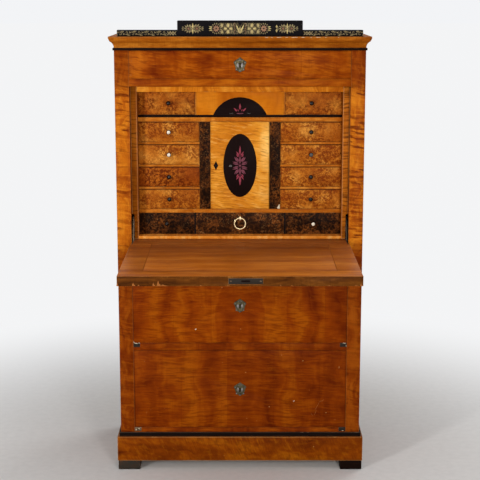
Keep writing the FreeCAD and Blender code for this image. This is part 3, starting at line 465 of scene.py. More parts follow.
@dataclass(frozen=True)
class FiguredBirch(Coating):
    """Polished birch with bands along the grain and ripples across it."""

    dark: Colour
    mid: Colour
    light: Colour
    ripple: float = 0.5
    pitch: float = 130.0
    spread: float = 14.0
    slant: float = 0.0
    bands: float = 9.0
    wander: float = 0.12
    leaf: float = 0.0
    leaf_tone: float = 0.3
    book: float = 0.0
    split: float = 0.0
    fine: float = 0.3
    glint: float = 0.0
    groups: float = 0.0
    flame: float = 0.0
    line: Colour | None = None
    # Dirt and painted shade near the edges.
    soil: float = 0.35
    rubbed: float = 0.45
    # Painted highlight along the arrises.
    edge_line: float = 0.0
    flecks: float = 0.05
    dust: float = 0.06
    roughness: float = 0.4
    sheen: float = 0.02
    coat: float = 0.008
    # Lit span of the board's length; shade is painted above and below it.
    faded: Point | None = None
    # Span across the width over which painted shade and a greyish painted reflection grow.
    dulled: Point | None = None
    # Colour of rubbed-through wood and of the painted highlight along the arrises.
    bare: Colour = (204, 150, 84)

    # Tints: dirt with painted shade near the edges, dust, painted shade above and below the lit span, and painted
    # shade with a greyish painted reflection across the width.
    SOIL = (44, 18, 4)
    DUST = (150, 138, 122)
    FADED = (188, 160, 144)
    DULLED = (216, 211, 236)

    def paint(self, face: Surface) -> None:
        """Lays bands, ripples, wear and dust on the board, with painted shade, highlights and sheen.

        Args:
            face: the surface to paint.
        """
        board, drawn = face.board, self.line or self.dark
        place = board.book if self.book else board.coordinate
        height, across, _ = board.place.split()
        band = face.fibre(1.6, self.bands, self.wander, place=place)
        ripple = face.fibre(self.pitch, self.spread, 0.03, self.slant, place=place)
        broad = face.fibre(self.pitch * 0.2, self.spread * 0.7, 0.06, self.slant * 1.4, place=place)
        fibre = face.fibre(9, 420, 0.012, place=place)
        tick = face.fibre(290, 26, 0.02, self.slant)
        cloud = face.noise(board.coordinate, 6.5, 3, 0.55)
        tone = band * 0.5 + cloud * 0.25 + broad * 0.25
        lines = ripple.step(0.51, 0.6) * cloud.step(0.34, 0.58, 0.3, 1)
        if self.leaf:
            veneer = face.effect(Effect.LEAVES, place=board.place, seed=board.seed, width=self.leaf)
            tone += (veneer.tone - 0.5) * self.leaf_tone
        if self.book:
            tone += board.off_centre.step(0.03, 0.15, -self.book, 0)
        if self.split:
            beyond = across.step(self.split - 0.03, self.split + 0.02)
            tone += (beyond - 0.4) * 0.1
            lines *= 1 - beyond * 0.75
        if self.groups:
            near = face.fibre(self.groups, 3, 0.04, place=place)
            lines *= near.step(0.42, 0.54, 0.15, 1)
        # Outside the lit span the ripple lines are fewer, as part of the painted shade.
        if self.faded:
            low, high = self.faded
            inside = height.step(low - 0.03, low + 0.03) * height.step(high - 0.04, high + 0.05, 1, 0)
            lines *= inside.step(0, 1, 0.45, 1)
        colour = tone.ramp((0.37, self.dark), (0.5, self.mid), (0.63, self.light))
        if self.flame:
            lick = face.fibre(26, 75, 0.08, 0.5, place=place)
            colour = colour.lay(lick.step(0.52, 0.66, 0, self.flame), self.dark)
            colour = colour.lay(lick.step(0.34, 0.46, self.flame, 0), self.light)
        colour = colour.lay(tick.step(0.5, 0.66, 0, self.fine), drawn)
        # Painted sheen: light streaks along the fine figure, in patches.
        if self.glint:
            colour = colour.lay(tick.step(0.33, 0.45, self.glint, 0) * cloud.step(0.42, 0.6), self.light)
        colour = face.lay_all(
            colour,
            (lines * self.ripple, drawn),
            (ripple.step(0.32, 0.46, 1, 0) * (self.ripple * 0.6), self.light),
            (fibre.step(0.5, 0.75, 0, 0.22), self.dark),
        )
        if self.leaf:
            colour = colour.lay(veneer.joint * 0.2, self.dark)
        # Painted shade: a darker tint above and below the lit span.
        if self.faded:
            colour = colour.lay(1 - inside, self.FADED, "MULTIPLY")
        # Painted shade with a greyish painted reflection, growing across the width towards the back of the writing
        # face.
        if self.dulled:
            colour = colour.lay(across.step(*self.dulled), self.DULLED, "MULTIPLY")
        # Edge wear, with dirt and painted shade darkening near the edges.
        wear = face.wear(9 * MM, self.rubbed)
        specks = face.effect(Effect.SPECKS, scale=48, amount=self.flecks)
        wear_and_highlight = wear.rubbed.larger(specks.fleck)
        # Painted highlight: a broken pale line along the arrises, laid with the wear in the rubbed-through colour.
        if self.edge_line:
            line = board.edge.step(1.2 * MM, 3 * MM, self.edge_line, 0)
            wear_and_highlight = wear_and_highlight.larger(line * cloud.step(0.3, 0.6, 0.5, 1))
        dust = face.effect(Effect.DUST, amount=self.dust).mask
        covered = wear_and_highlight.larger(dust)
        if self.coat:
            face.shade({"Coat Weight": (1 - covered) * self.coat, "Coat Roughness": 0.25})
        face.shade({
            "Base Color": face.lay_all(
                colour, (wear.soil * self.soil, self.SOIL), (wear_and_highlight * 0.8, self.bare), (dust, self.DUST)
            ),
            "Roughness": fibre * 0.1 + self.roughness + specks.scratch * 0.12 + covered * 0.25,
            "Specular IOR Level": self.sheen,
            "Normal": face.raised(fibre * 0.4 + ripple * 0.3 - wear_and_highlight * 0.6, 0.25, 0.6 * MM),
        })


@dataclass(frozen=True)
class BurlBirch(Coating):
    """Burr birch veneer with flecks, eyes and a painted shadow along its top edge."""

    dark: Colour
    mid: Colour
    light: Colour
    mottle: Colour
    speck: Colour
    roughness: float = 0.38
    sheen: float = 0.025

    # Tints: dirt with painted shade near the edges, rubbed-through wood, and a painted shadow along the top edge.
    SOIL = (52, 22, 8)
    RUBBED = (222, 168, 98)
    GAP = (58, 20, 6)

    def paint(self, face: Surface) -> None:
        """Lays clouds, flecks and wear on the board, with dirt and painted shade near the edges and a painted shadow
        along the top edge.

        Args:
            face: the surface to paint.
        """
        board = face.board
        burl = face.effect(Effect.BURL, scale=1)
        wear = face.wear(6 * MM, 0.4)
        shade = burl.cloud + (board.seed.fract() - 0.5) * 0.04
        face.shade({
            "Base Color": face.lay_all(
                shade.ramp((0.34, self.dark), (0.5, self.mid), (0.66, self.light)),
                (burl.fleck * 0.9, self.mottle),
                (burl.eye * 0.55, self.speck),
                (burl.fine.step(0.5, 0.75, 0, 0.3), self.light),
                # Dirt and painted shade darkening near the edges.
                (wear.soil * 0.75, self.SOIL),
                (wear.rubbed * 0.6, self.RUBBED),
                # Painted shadow cast by the rail above onto the front's top edge.
                (board.below_top.step(1 * MM, 4.5 * MM, 0.75, 0), self.GAP),
            ),
            "Roughness": burl.fine * 0.12 + self.roughness,
            "Specular IOR Level": self.sheen,
            "Normal": face.raised(burl.fine * 0.4 - burl.eye, 0.2, 0.6 * MM),
        })


@dataclass(frozen=True)
class DarkCoat(Coating):
    """Black polish on wood, plain or mottled with brown, amber and grey."""

    ground: Colour
    mottle: Colour
    fleck: Colour
    amber: Colour = (120, 62, 16)
    mottled: float = 0.0
    scale: float = 0.6
    flecked: float = 0.0
    # Rubbed colour, which also paints the grain and the highlight along the arrises.
    rub: Colour = (74, 46, 26)
    rubbed: float = 0.4
    # Painted highlight along the arrises.
    edge_line: float = 0.0
    dust: float = 0.08
    roughness: float = 0.34
    sheen: float = 0.02

    DUST = (132, 124, 114)

    def paint(self, face: Surface) -> None:
        """Lays mottle, flecks, wear, dust and a painted highlight along the arrises on the board.

        Args:
            face: the surface to paint.
        """
        place = face.board.coordinate
        burl = face.effect(Effect.BURL, scale=self.scale)
        fibre = face.fibre(12, 300, 0.01)
        wear_and_highlight = face.wear(5 * MM, self.rubbed).rubbed
        # Painted highlight: a broken pale line along the arrises, laid with the wear.
        if self.edge_line:
            line = face.board.edge.step(0.8 * MM, 2.4 * MM, self.edge_line, 0)
            wear_and_highlight = wear_and_highlight.larger(line * burl.cloud.step(0.3, 0.6, 0.4, 1))
        dust = face.effect(Effect.DUST, amount=self.dust).mask
        scratch = face.effect(Effect.SPECKS, scale=30, amount=0.05).scratch
        shadow = face.noise(place, 95, 3, 0.65).step(0.48, 0.58, 0, self.mottled)
        bright = face.noise(place, 260, 3, 0.7).step(0.57, 0.68, 0, self.flecked)
        face.shade({
            "Base Color": face.lay_all(
                face.blend(burl.cloud.step(0.42, 0.66, 0, 0.6 * self.mottled), self.ground, self.mottle),
                (burl.fleck * burl.cloud.step(0.38, 0.56, 0.2, 1) * self.mottled, self.amber),
                (shadow, self.ground),
                (bright * face.noise(place, 30).step(0.44, 0.62), self.fleck),
                (fibre.step(0.5, 0.8, 0, 0.06), self.rub),
                (wear_and_highlight * 0.75, self.rub),
                (dust, self.DUST),
            ),
            "Roughness": burl.fine * 0.14 + self.roughness + scratch * 0.15 + dust * 0.4,
            "Specular IOR Level": self.sheen,
            "Normal": face.raised(fibre * 0.5 + burl.fine * 0.3, 0.2, 0.5 * MM),
        })


@dataclass(frozen=True)
class OldMetal(Coating):
    """Metal with a patina in its hollows and brighter rubbed rims."""

    metal: Colour
    patina: Colour
    bright: Colour
    patinated: float = 0.5
    metallic: float = 0.9
    roughness: float = 0.36

    def paint(self, face: Surface) -> None:
        """Lays patina, grit and rubbed rims on the metal.

        Args:
            face: the surface to paint.
        """
        cloud = face.noise(face.board.coordinate, 85, 4, 0.6)
        grit = face.noise(face.board.coordinate, 900, 3, 0.6)
        aged = cloud.step(0.62 - 0.3 * self.patinated, 0.72 - 0.1 * self.patinated)
        rubbed = face.wear(1.5 * MM, 0.75).rubbed
        covered = aged * (1 - rubbed)
        face.shade({
            "Base Color": face.blend(aged, self.metal, self.patina).lay(rubbed * 0.85, self.bright),
            "Metallic": (1 - covered * 0.5) * self.metallic,
            "Roughness": covered * 0.25 + self.roughness + grit * 0.12,
            "Normal": face.raised(grit + cloud, 0.25, 0.4 * MM),
        })


@dataclass(frozen=True)
class FineTurned(Coating):
    """Bone, horn, paint or bronze powder: a fine close surface."""

    base: Colour
    stain: Colour
    stained: float = 0.4
    metallic: float = 0.0
    roughness: float = 0.35
    sheen: float = 0.15
    scale: float = 220.0

    def paint(self, face: Surface) -> None:
        """Lays stain and veins on the surface.

        Args:
            face: the surface to paint.
        """
        cloud = face.noise(face.board.coordinate, self.scale, 4, 0.65)
        vein = face.fibre(60, 1500, 0.004)
        share = cloud.step(0.4, 0.68) * self.stained
        colour = face.blend(share, self.base, self.stain)
        if self.metallic:
            face.shade({"Metallic": (self.metallic - share * 0.5).larger(0)})
        face.shade({
            "Base Color": colour.lay(vein.step(0.5, 0.75, 0, 0.25), self.stain),
            "Roughness": cloud * 0.2 + self.roughness,
            "Specular IOR Level": self.sheen,
            "Normal": face.raised(vein + cloud, 0.2, 0.3 * MM),
        })


class Finish(Enum):
    """Every finish on the escritoire, as its material's name and its coating."""

    STILE = "stile_birch", FiguredBirch(
        (140, 58, 6), (182, 96, 14), (208, 124, 27), ripple=1, pitch=105, spread=13, slant=0.16, bands=18, fine=0.15,
        groups=13, flame=0.55, line=(100, 36, 3), soil=0.3, rubbed=0.35, edge_line=0.2, faded=(0.665, 1.2),
        bare=(200, 122, 60),
    )
    SIDE = "side_birch", FiguredBirch(
        (112, 46, 5), (148, 70, 9), (174, 94, 20), ripple=0.4, pitch=80, spread=9, slant=0.1, bands=7, leaf=0.205,
        leaf_tone=0.12, rubbed=0.3,
    )
    FRIEZE = "frieze_birch", FiguredBirch(
        (98, 30, 1), (140, 60, 2), (176, 92, 12), pitch=120, spread=16, slant=0.1, bands=13, fine=0.45, glint=0.6,
        leaf=0.24, leaf_tone=0.08, rubbed=0.12,
    )
    RAIL = "rail_birch", FiguredBirch(
        (112, 40, 2), (148, 67, 4), (176, 93, 12), ripple=0.45, pitch=120, bands=12, leaf=0.21, fine=0.4, glint=0.4,
        leaf_tone=0.1, rubbed=0.12,
    )
    DRAWER = "drawer_birch", FiguredBirch(
        (92, 27, 1), (134, 54, 2), (162, 80, 5), ripple=0.4, spread=12, slant=0.06, bands=16, book=0.012, fine=0.42,
        glint=0.4, leaf=0.13, leaf_tone=0.07, flecks=0.03, rubbed=0.12,
    )
    LOWER_DRAWER = "lower_drawer_birch", FiguredBirch(
        (88, 26, 1), (128, 51, 2), (156, 76, 5), ripple=0.4, spread=12, slant=0.05, bands=16, book=0.035, fine=0.42,
        glint=0.4, leaf=0.16, leaf_tone=0.06, rubbed=0.12,
    )
    PLINTH = "plinth_birch", FiguredBirch(
        (82, 27, 2), (134, 61, 3), (174, 99, 9), ripple=0.35, pitch=60, spread=50, slant=0.4, bands=14, fine=0.35,
        glint=0.4, edge_line=0.5,
    )
    CORNICE = "cornice_birch", FiguredBirch(
        (122, 56, 6), (158, 84, 12), (184, 110, 28), ripple=0.3, pitch=40, spread=120, bands=40, rubbed=0.08,
        edge_line=0.25, bare=(206, 144, 84),
    )
    FLAP_TOP = "flap_writing_face", FiguredBirch(
        (144, 72, 16), (174, 93, 23), (206, 122, 38), ripple=0.08, pitch=34, spread=110, slant=0.1, bands=22,
        wander=0.05, fine=0.1, flecks=0.08, soil=0.1, roughness=0.42, sheen=0.09, dust=0.05, edge_line=0.15,
        dulled=(0.1, 0.5), bare=(200, 146, 90),
    )
    FLAP_OUTER = "flap_outer_face", FiguredBirch(
        (104, 34, 2), (142, 60, 4), (168, 84, 9), pitch=110, spread=9, leaf=0.183, leaf_tone=0.1,
    )
    FLAP_EDGE = "flap_edge", FiguredBirch(
        (62, 30, 6), (90, 47, 10), (118, 68, 20), ripple=0.2, pitch=30, spread=140, bands=60, rubbed=0.6, soil=0.1,
        bare=(190, 126, 56),
    )
    GOLDEN = "golden_birch", FiguredBirch(
        (150, 74, 12), (188, 106, 26), (212, 136, 50), ripple=0.3, pitch=40, spread=120, bands=50, soil=0.25,
    )
    CROSSBAND = "crossband_birch", FiguredBirch(
        (170, 84, 8), (210, 120, 21), (232, 152, 46), ripple=0.1, pitch=20, spread=60, bands=75, soil=0.2,
    )
    JAMB = "jamb_crossband", FiguredBirch(
        (132, 64, 8), (166, 90, 15), (188, 110, 28), ripple=0.9, pitch=150, spread=6, bands=30, fine=0.5,
        line=(96, 45, 6), soil=0.1, rubbed=0.4, edge_line=0.7, bare=(208, 148, 96),
    )
    DOOR = "ripple_birch", FiguredBirch(
        (200, 118, 24), (222, 146, 43), (250, 196, 104), ripple=0.6, pitch=170, spread=22, slant=0.12, bands=8,
        fine=0.6, split=0.134, line=(146, 72, 10), soil=0.25, flecks=0, rubbed=0.2,
    )
    ARCH = "arch_birch", FiguredBirch(
        (176, 90, 9), (202, 114, 16), (218, 134, 28), ripple=0.2, pitch=80, spread=20, bands=14, soil=0.25,
    )
    SILL = "pale_crossband", FiguredBirch(
        (196, 108, 24), (232, 146, 54), (246, 178, 92), ripple=0.1, pitch=20, spread=60, bands=75, soil=0.1,
    )
    BURL = "burl_birch", BurlBirch((160, 83, 16), (188, 110, 30), (212, 140, 54), (114, 42, 5), (70, 22, 3))
    # A darker copy of the burr birch that paints the shade over the top drawers.
    TOP_BURL = "shaded_burr_birch", BurlBirch((148, 72, 13), (176, 96, 24), (202, 128, 43), (100, 34, 4), (62, 18, 3))
    DEEP_BURL = "deep_burr_birch", BurlBirch((126, 54, 9), (152, 72, 15), (176, 96, 24), (86, 24, 3), (58, 16, 2))
    MOTTLED = "mottled_lacquer", DarkCoat(
        (21, 10, 6), (70, 35, 15), (146, 104, 62), amber=(116, 64, 24), mottled=0.9, scale=1.25, flecked=0.6,
        rub=(104, 64, 32), rubbed=0.3, edge_line=0.3,
    )
    BROWN_MOTTLED = "brown_mottled_lacquer", DarkCoat(
        (32, 16, 8), (86, 46, 19), (176, 128, 78), amber=(128, 72, 28), mottled=0.9, scale=1.3, flecked=0.8,
        rub=(104, 64, 32), rubbed=0.3, edge_line=0.3,
    )
    EBONY = "ebonised_wood", DarkCoat((22, 11, 7), (36, 20, 12), (70, 60, 50), rub=(92, 60, 40))
    WORN_EBONY = "worn_ebonised_string", DarkCoat(
        (20, 13, 11), (34, 24, 18), (70, 60, 50), rubbed=0.45, edge_line=0.35, rub=(120, 92, 70),
    )
    GREYED = "greyed_foot", DarkCoat(
        (50, 46, 40), (72, 64, 54), (96, 88, 78), mottled=0.4, rubbed=0.5, rub=(104, 92, 78),
    )
    BLACK = "black_lacquer", DarkCoat((22, 11, 10), (26, 14, 13), (50, 44, 44), rubbed=0.2, dust=0.03)
    JET = "jet_lacquer", DarkCoat((18, 16, 18), (24, 21, 22), (58, 52, 48), rubbed=0.35, rub=(104, 88, 70), dust=0.04)
    STRING = "dark_stringing", DarkCoat(
        (146, 78, 22), (158, 87, 27), (166, 96, 38), mottled=0.5, rubbed=0.3, dust=0.05,
    )
    PINE = "secondary_pine", FiguredBirch(
        (158, 112, 64), (190, 146, 92), (212, 172, 118), ripple=0.05, pitch=12, spread=40, bands=80, wander=0.03,
        soil=0.3, rubbed=0.3, flecks=0, dust=0.2, roughness=0.6, coat=0,
    )
    IRON = "forged_iron", OldMetal((42, 35, 28), (32, 23, 16), (96, 84, 70), patinated=0.7, roughness=0.5)
    RUBBED_IRON = "rubbed_iron", OldMetal((112, 90, 68), (80, 58, 38), (144, 126, 104), roughness=0.5)
    BRASS = "cast_brass", OldMetal((90, 82, 58), (48, 41, 27), (146, 138, 114), patinated=0.6, roughness=0.4)
    STEEL = "rubbed_steel", OldMetal((116, 110, 108), (78, 72, 66), (170, 162, 156), patinated=0.35)
    PALE_BRASS = "pale_brass", OldMetal(
        (226, 206, 160), (160, 132, 84), (250, 240, 214), patinated=0.2, roughness=0.3,
    )
    BONE = "turned_bone", FineTurned((238, 228, 208), (196, 172, 132), stained=0.3, sheen=0.3)
    HORN = "dark_horn", FineTurned((13, 10, 9), (44, 32, 22), stained=0.5, roughness=0.14, sheen=0.22)
    GILT = "bronze_powder", FineTurned(
        (192, 172, 112), (108, 90, 58), stained=0.55, metallic=0.2, roughness=0.45, scale=150,
    )
    DULL_GILT = "dull_bronze_powder", FineTurned(
        (142, 126, 88), (70, 58, 44), stained=0.65, metallic=0.15, roughness=0.5, scale=150,
    )
    RED_GILT = "copper_powder", FineTurned(
        (150, 112, 84), (86, 58, 44), stained=0.5, metallic=0.15, roughness=0.5, scale=150,
    )
    ROSE = "rose_paint", FineTurned((150, 56, 72), (98, 36, 46), stained=0.6, roughness=0.5, scale=300)
    MAUVE = "mauve_paint", FineTurned((118, 58, 72), (72, 40, 46), stained=0.6, roughness=0.5, scale=300)
    GREY = "grey_paint", FineTurned((92, 90, 86), (56, 52, 50), stained=0.6, roughness=0.6, scale=300)
    CHIP = "bare_wood", FineTurned((222, 208, 178), (170, 140, 100), stained=0.5, roughness=0.7)
    SPLINTER = "torn_veneer", FineTurned((158, 94, 40), (112, 60, 22), stained=0.6, roughness=0.7, scale=300)

    @cache
    def material(self) -> bpy.types.Material:
        """The finish's material, made when it is first asked for.

        Returns:
            The material.
        """
        name, coating = self.value
        face = Surface(name)
        coating.paint(face)
        return face.material


@dataclass(frozen=True)
class Solid:
    """One solid of a node, by its number in the node and its box."""

    number: int
    low: Vector
    high: Vector

    @property
    def size(self) -> Vector:
        """Extents of the solid."""
        return self.high - self.low


@dataclass(frozen=True)
class Coat:
    """How one solid is finished, with its softened edge in millimetres."""

    finish: Finish
    grain: Axis = Axis.X
    rounding: float = 0.9
    sides: dict[Facing, Finish] = field(default_factory=dict)


Plan = Callable[[Solid], Coat | None]


def wood(finish: Finish, grain: Axis, rounding: float = 0.9, **sides: Finish) -> Plan:
    """A plan that gives every solid of a node the same coat."""
    chosen = {Facing[name.upper()]: other for name, other in sides.items()}
    return lambda solid: Coat(finish, grain, rounding, chosen)


def mixed(numbers: Sequence[int], finish: Finish, other: Finish, grain: Axis, rounding: float) -> Plan:
    """A plan that gives the solids of some numbers one finish and the rest another."""
    return lambda solid: Coat(finish if solid.number in numbers else other, grain, rounding)


def round_case(finish: Finish, rounding: float) -> Plan:
    """A plan for strips round the case, each with its grain along its own length."""
    return lambda solid: Coat(finish, Axis.Y if solid.number else Axis.X, rounding)


def drawer(front: Finish, grain: Axis, front_rounding: float, box_rounding: float) -> Plan:
    """A plan for a drawer with a veneered front and a pine box.

    Args:
        front: finish of the front.
        grain: grain of the front.
        front_rounding: softened edge of the front.
        box_rounding: softened edge of the sides, back and bottom.

    Returns:
        The plan.
    """
    def plan(solid: Solid) -> Coat:
        """Veneer on the front's face and edges, pine elsewhere.

        Args:
            solid: one board of the drawer.

        Returns:
            Its coat.
        """
        if solid.number == 0:
            return Coat(front, grain, front_rounding, {Facing.REAR: Finish.PINE})
        return Coat(Finish.PINE, Axis.Y if solid.number in (1, 2) else Axis.X, box_rounding)

    return plan


def box_of(points: Sequence[Vector]) -> list[Vector]:
    """Lowest and highest corner of the box round some points."""
    return [Vector(pick(point[axis] for point in points) for axis in range(3)) for pick in (min, max)]


def placed(name: str, data: bpy.types.ID) -> bpy.types.Object:
    """Puts a mesh, lamp or camera into the scene.

    Args:
        name: name of the new object.
        data: what it shows.

    Returns:
        The object.
    """
    made = bpy.data.objects.new(name, data)
    bpy.context.scene.collection.objects.link(made)
    return made


class Piece:
    """A piece in the making: one mesh with the attributes that the finishes read."""

    SQUARE = 0.75

    def __init__(self) -> None:
        """Starts an empty mesh with its attribute layers."""
        self.mesh = bmesh.new()
        self.finishes: list[Finish] = []
        corners = self.mesh.verts.layers
        self.board, self.reach = corners.float_vector.new("board"), corners.float_vector.new("reach")
        self.seed, self.rim = corners.float.new("seed"), self.mesh.loops.layers.float.new("rim")

    def take(self, work: Mesh, rim: set[int], solid: Solid, coat: Coat, key: str) -> None:
        """Copies one solid in with its grain, seed and finishes, and frees it.

        Args:
            work: the solid's mesh.
            rim: numbers of its edge faces.
            solid: its box.
            coat: its coat.
            key: words that its seed comes from.
        """
        others = [axis for axis in range(3) if axis != coat.grain.value]
        order = [coat.grain.value, *sorted(others, key=lambda axis: -solid.size[axis])]
        reach = Vector(solid.size[axis] for axis in order)
        seed = (zlib.crc32(key.encode()) % SEEDS) / SEED_STEP
        copies = {}
        for vertex in work.verts:
            copy = copies[vertex] = self.mesh.verts.new(vertex.co)
            offset = vertex.co - solid.low
            copy[self.board] = Vector(offset[axis] for axis in order)
            copy[self.reach], copy[self.seed] = reach, seed
        for face in work.faces:
            finish = coat.finish
            for facing, other in coat.sides.items():
                axis, sign = facing.value
                if face.normal[axis] * sign > self.SQUARE:
                    finish = other
            if finish not in self.finishes:
                self.finishes.append(finish)
            made = self.mesh.faces.new([copies[vertex] for vertex in face.verts])
            made.material_index = self.finishes.index(finish)
            for loop in made.loops:
                loop[self.rim] = float(face.index in rim)
        work.free()

    def make(self, name: str) -> bpy.types.Object:
        """Turns the mesh into an object with its materials.

        Args:
            name: name of the piece.

        Returns:
            The object.
        """
        mesh = bpy.data.meshes.new(name)
        self.mesh.to_mesh(mesh)
        self.mesh.free()
        for finish in self.finishes:
            mesh.materials.append(finish.material())
        mesh.shade_smooth()
        mesh.set_sharp_from_angle(angle=BEND)
        return placed(name, mesh)


Shell = tuple[Mesh, Finish]


def solids_of(node: str) -> list[list[list[Vector]]]:
    """Splits a node's mesh into its closed solids.

    Args:
        node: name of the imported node.

    Returns:
        The faces of each solid, each face as its corner points.
    """
    mesh = frame["nodes"][node].data
    keys = [tuple(round(part, 6) for part in vertex.co) for vertex in mesh.vertices]
    found: list[list[list[Vector]]] = [[]]
    open_edges: set = set()
    for polygon in mesh.polygons:
        corners = [keys[index] for index in polygon.vertices]
        found[-1].append([Vector(corner) for corner in corners])
        for start, end in zip(corners, corners[1:] + corners[:1]):
            if (end, start) in open_edges:
                open_edges.discard((end, start))
            elif start != end:
                open_edges.add((start, end))
        if not open_edges:
            found.append([])
    return [faces for faces in found if faces]


def soften(faces: Iterable[Sequence[Vector]], rounding: float) -> tuple[Mesh, set[int]]:
    """Builds one solid with softened edges.

    Args:
        faces: corner points of each face.
        rounding: width of the softened edge.

    Returns:
        The mesh and the numbers of the faces along its softened edges.
    """
    work = bmesh.new()
    for corners in faces:
        work.faces.new([work.verts.new(corner) for corner in corners])
    bmesh.ops.remove_doubles(work, verts=work.verts, dist=WELD)
    bmesh.ops.dissolve_limit(work, angle_limit=FLAT, verts=work.verts, edges=work.edges)
    edges = [
        edge for edge in work.edges
        if len(edge.link_faces) == 2 and edge.calc_face_angle(0) > BEND and edge.is_convex
    ]
    rim: set[int] = set()
    if edges and rounding > 0:
        made = bmesh.ops.bevel(
            work, geom=edges, offset=rounding, offset_type="OFFSET", segments=2, profile=0.5, affect="EDGES",
            clamp_overlap=True,
        )
        work.faces.index_update()
        rim = {face.index for face in made["faces"]}
    work.normal_update()
    return work, rim


class Joiner:
    """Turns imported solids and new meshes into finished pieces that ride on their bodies."""

    def __init__(self) -> None:
        """Finds each node's body."""
        self.count = 0
        bodies = frame["record"]["behaviour"]["bodies"]
        self.home = {node: body for body, nodes in bodies.items() for node in nodes}

    def dress(self, node: str, plan: Plan, slot: Slot) -> None:
        """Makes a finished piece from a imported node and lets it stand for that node.

        Args:
            node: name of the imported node.
            plan: gives the coat of each solid, or nothing where another piece takes its place.
            slot: the record's material slot.
        """
        piece = Piece()
        for number, faces in enumerate(solids_of(node)):
            solid = Solid(number, *box_of([corner for face in faces for corner in face]))
            coat = plan(solid)
            if coat is not None:
                work, rim = soften(faces, min(coat.rounding * MM, EDGE_SHARE * min(solid.size)))
                piece.take(work, rim, solid, coat, f"{node}{number}")
        self.seat(piece.make(f"{node}_dressed"), self.home[node], slot, node)

    def dress_all(self, plan: Plan, slot: Slot, *nodes: str) -> None:
        """Dresses several nodes in the same way."""
        for node in nodes:
            self.dress(node, plan, slot)

    def seat(self, piece: bpy.types.Object, body: str, slot: Slot | None, *nodes: str) -> None:
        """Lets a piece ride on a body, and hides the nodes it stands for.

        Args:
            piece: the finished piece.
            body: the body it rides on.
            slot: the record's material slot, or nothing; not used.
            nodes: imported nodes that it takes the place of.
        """
        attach(piece, body)
        if nodes:
            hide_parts(*nodes)
        self.count += 1
        LOG.info("piece %s on %s, %d faces", piece.name, body, len(piece.data.polygons))

    def add(
        self, name: str, body: str, slot: Slot | None, place: Matrix, *shells: Shell, stands_for: Sequence[str] = ()
    ) -> None:
        """Makes a piece from new meshes.

        Args:
            name: name of the piece.
            body: body that it rides on.
            slot: the record's material slot, or nothing.
            place: where the meshes go.
            shells: meshes and their finishes.
            stands_for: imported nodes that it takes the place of.
        """
        piece = Piece()
        for number, (work, finish) in enumerate(shells):
            moved(work, place)
            bmesh.ops.recalc_face_normals(work, faces=work.faces)
            work.faces.index_update()
            solid = Solid(number, *box_of([vertex.co for vertex in work.verts]))
            piece.take(work, set(), solid, Coat(finish), f"{name}{number}")
        self.seat(piece.make(name), body, slot, *stands_for)


def ring(count: int) -> Outline:
    """Even steps round a circle of radius one."""
    turns = [2 * math.pi * k / count for k in range(count)]
    return [(math.cos(turn), math.sin(turn)) for turn in turns]


def moved(work: Mesh, place: Matrix) -> Mesh:
    """Moves a mesh to its place."""
    bmesh.ops.transform(work, matrix=place, verts=work.verts)
    return work


def bridge(work: Mesh, rings: Sequence[Sequence[bmesh.types.BMVert]]) -> None:
    """Joins rings of points with faces.

    Args:
        work: the mesh that the rings are in.
        rings: the rings in turn, of which the first or the last may be a single point.
    """
    for low, high in zip(rings, rings[1:]):
        count = max(len(low), len(high))
        for k in range(count):
            after = (k + 1) % count
            if len(low) == 1:
                work.faces.new((low[0], high[after], high[k]))
            elif len(high) == 1:
                work.faces.new((low[k], low[after], high[0]))
            else:
                work.faces.new((low[k], low[after], high[after], high[k]))


def lathe(profile: Iterable[Point], segments: int) -> Mesh:
    """Turns a profile about the local Z axis.

    Args:
        profile: radius and height of each point, from the foot up.
        segments: steps round the axis.

    Returns:
        The turned mesh.
    """
    work = bmesh.new()
    rings = []
    for radius, height in profile:
        steps = ring(segments) if radius > 0 else [(0, 0)]
        rings.append([work.verts.new((radius * c, radius * s, height)) for c, s in steps])
    bridge(work, rings)
    work.faces.new(rings[0][::-1])
    return work


def sweep(path: Sequence[Vector], radii: Sequence[float], sides: int, closed: bool = False) -> Mesh:
    """Runs a round section along a path.

    Args:
        path: points along the middle of the bar.
        radii: section radius at each point.
        sides: steps round the section.
        closed: whether the bar joins up with itself.

    Returns:
        The swept mesh.
    """
    work = bmesh.new()
    rings = []
    last = len(path) - 1
    for k, point in enumerate(path):
        before = path[k - 1] if k or closed else point
        after = path[(k + 1) % (last + 1)] if k < last or closed else point
        along = (after - before).normalized()
        across = along.cross(Vector((0, 0, 1))).normalized()
        up = across.cross(along)
        rings.append([
            work.verts.new(point + across * (radii[k] * c) + up * (radii[k] * s)) for c, s in ring(sides)
        ])
    bridge(work, rings + rings[:1] if closed else rings)
    if not closed:
        work.faces.new(rings[0][::-1])
        work.faces.new(rings[-1])
    return work


def slab(outline: Sequence[Point], thickness: float, crown: float = 0.0) -> Mesh:
    """Raises an outline into a thin slab with sloping sides and a crowned face.

    Args:
        outline: corner points in the local XY plane.
        thickness: height of the slab's shoulder.
        crown: how much the middle stands above the shoulder.

    Returns:
        The raised mesh.
    """
    work = bmesh.new()
    middle = Vector((*(sum(point[axis] for point in outline) / len(outline) for axis in (0, 1)), 0))
    rims = [
        [work.verts.new(middle + (Vector((x, y, 0)) - middle) * share + Vector((0, 0, height))) for x, y in outline]
        for share, height in ((1, 0), (0.94, thickness), (0.6, thickness + 0.7 * crown))
    ]
    bridge(work, [*rims, [work.verts.new(middle + Vector((0, 0, thickness + crown)))]])
    work.faces.new(rims[0][::-1])
    return work


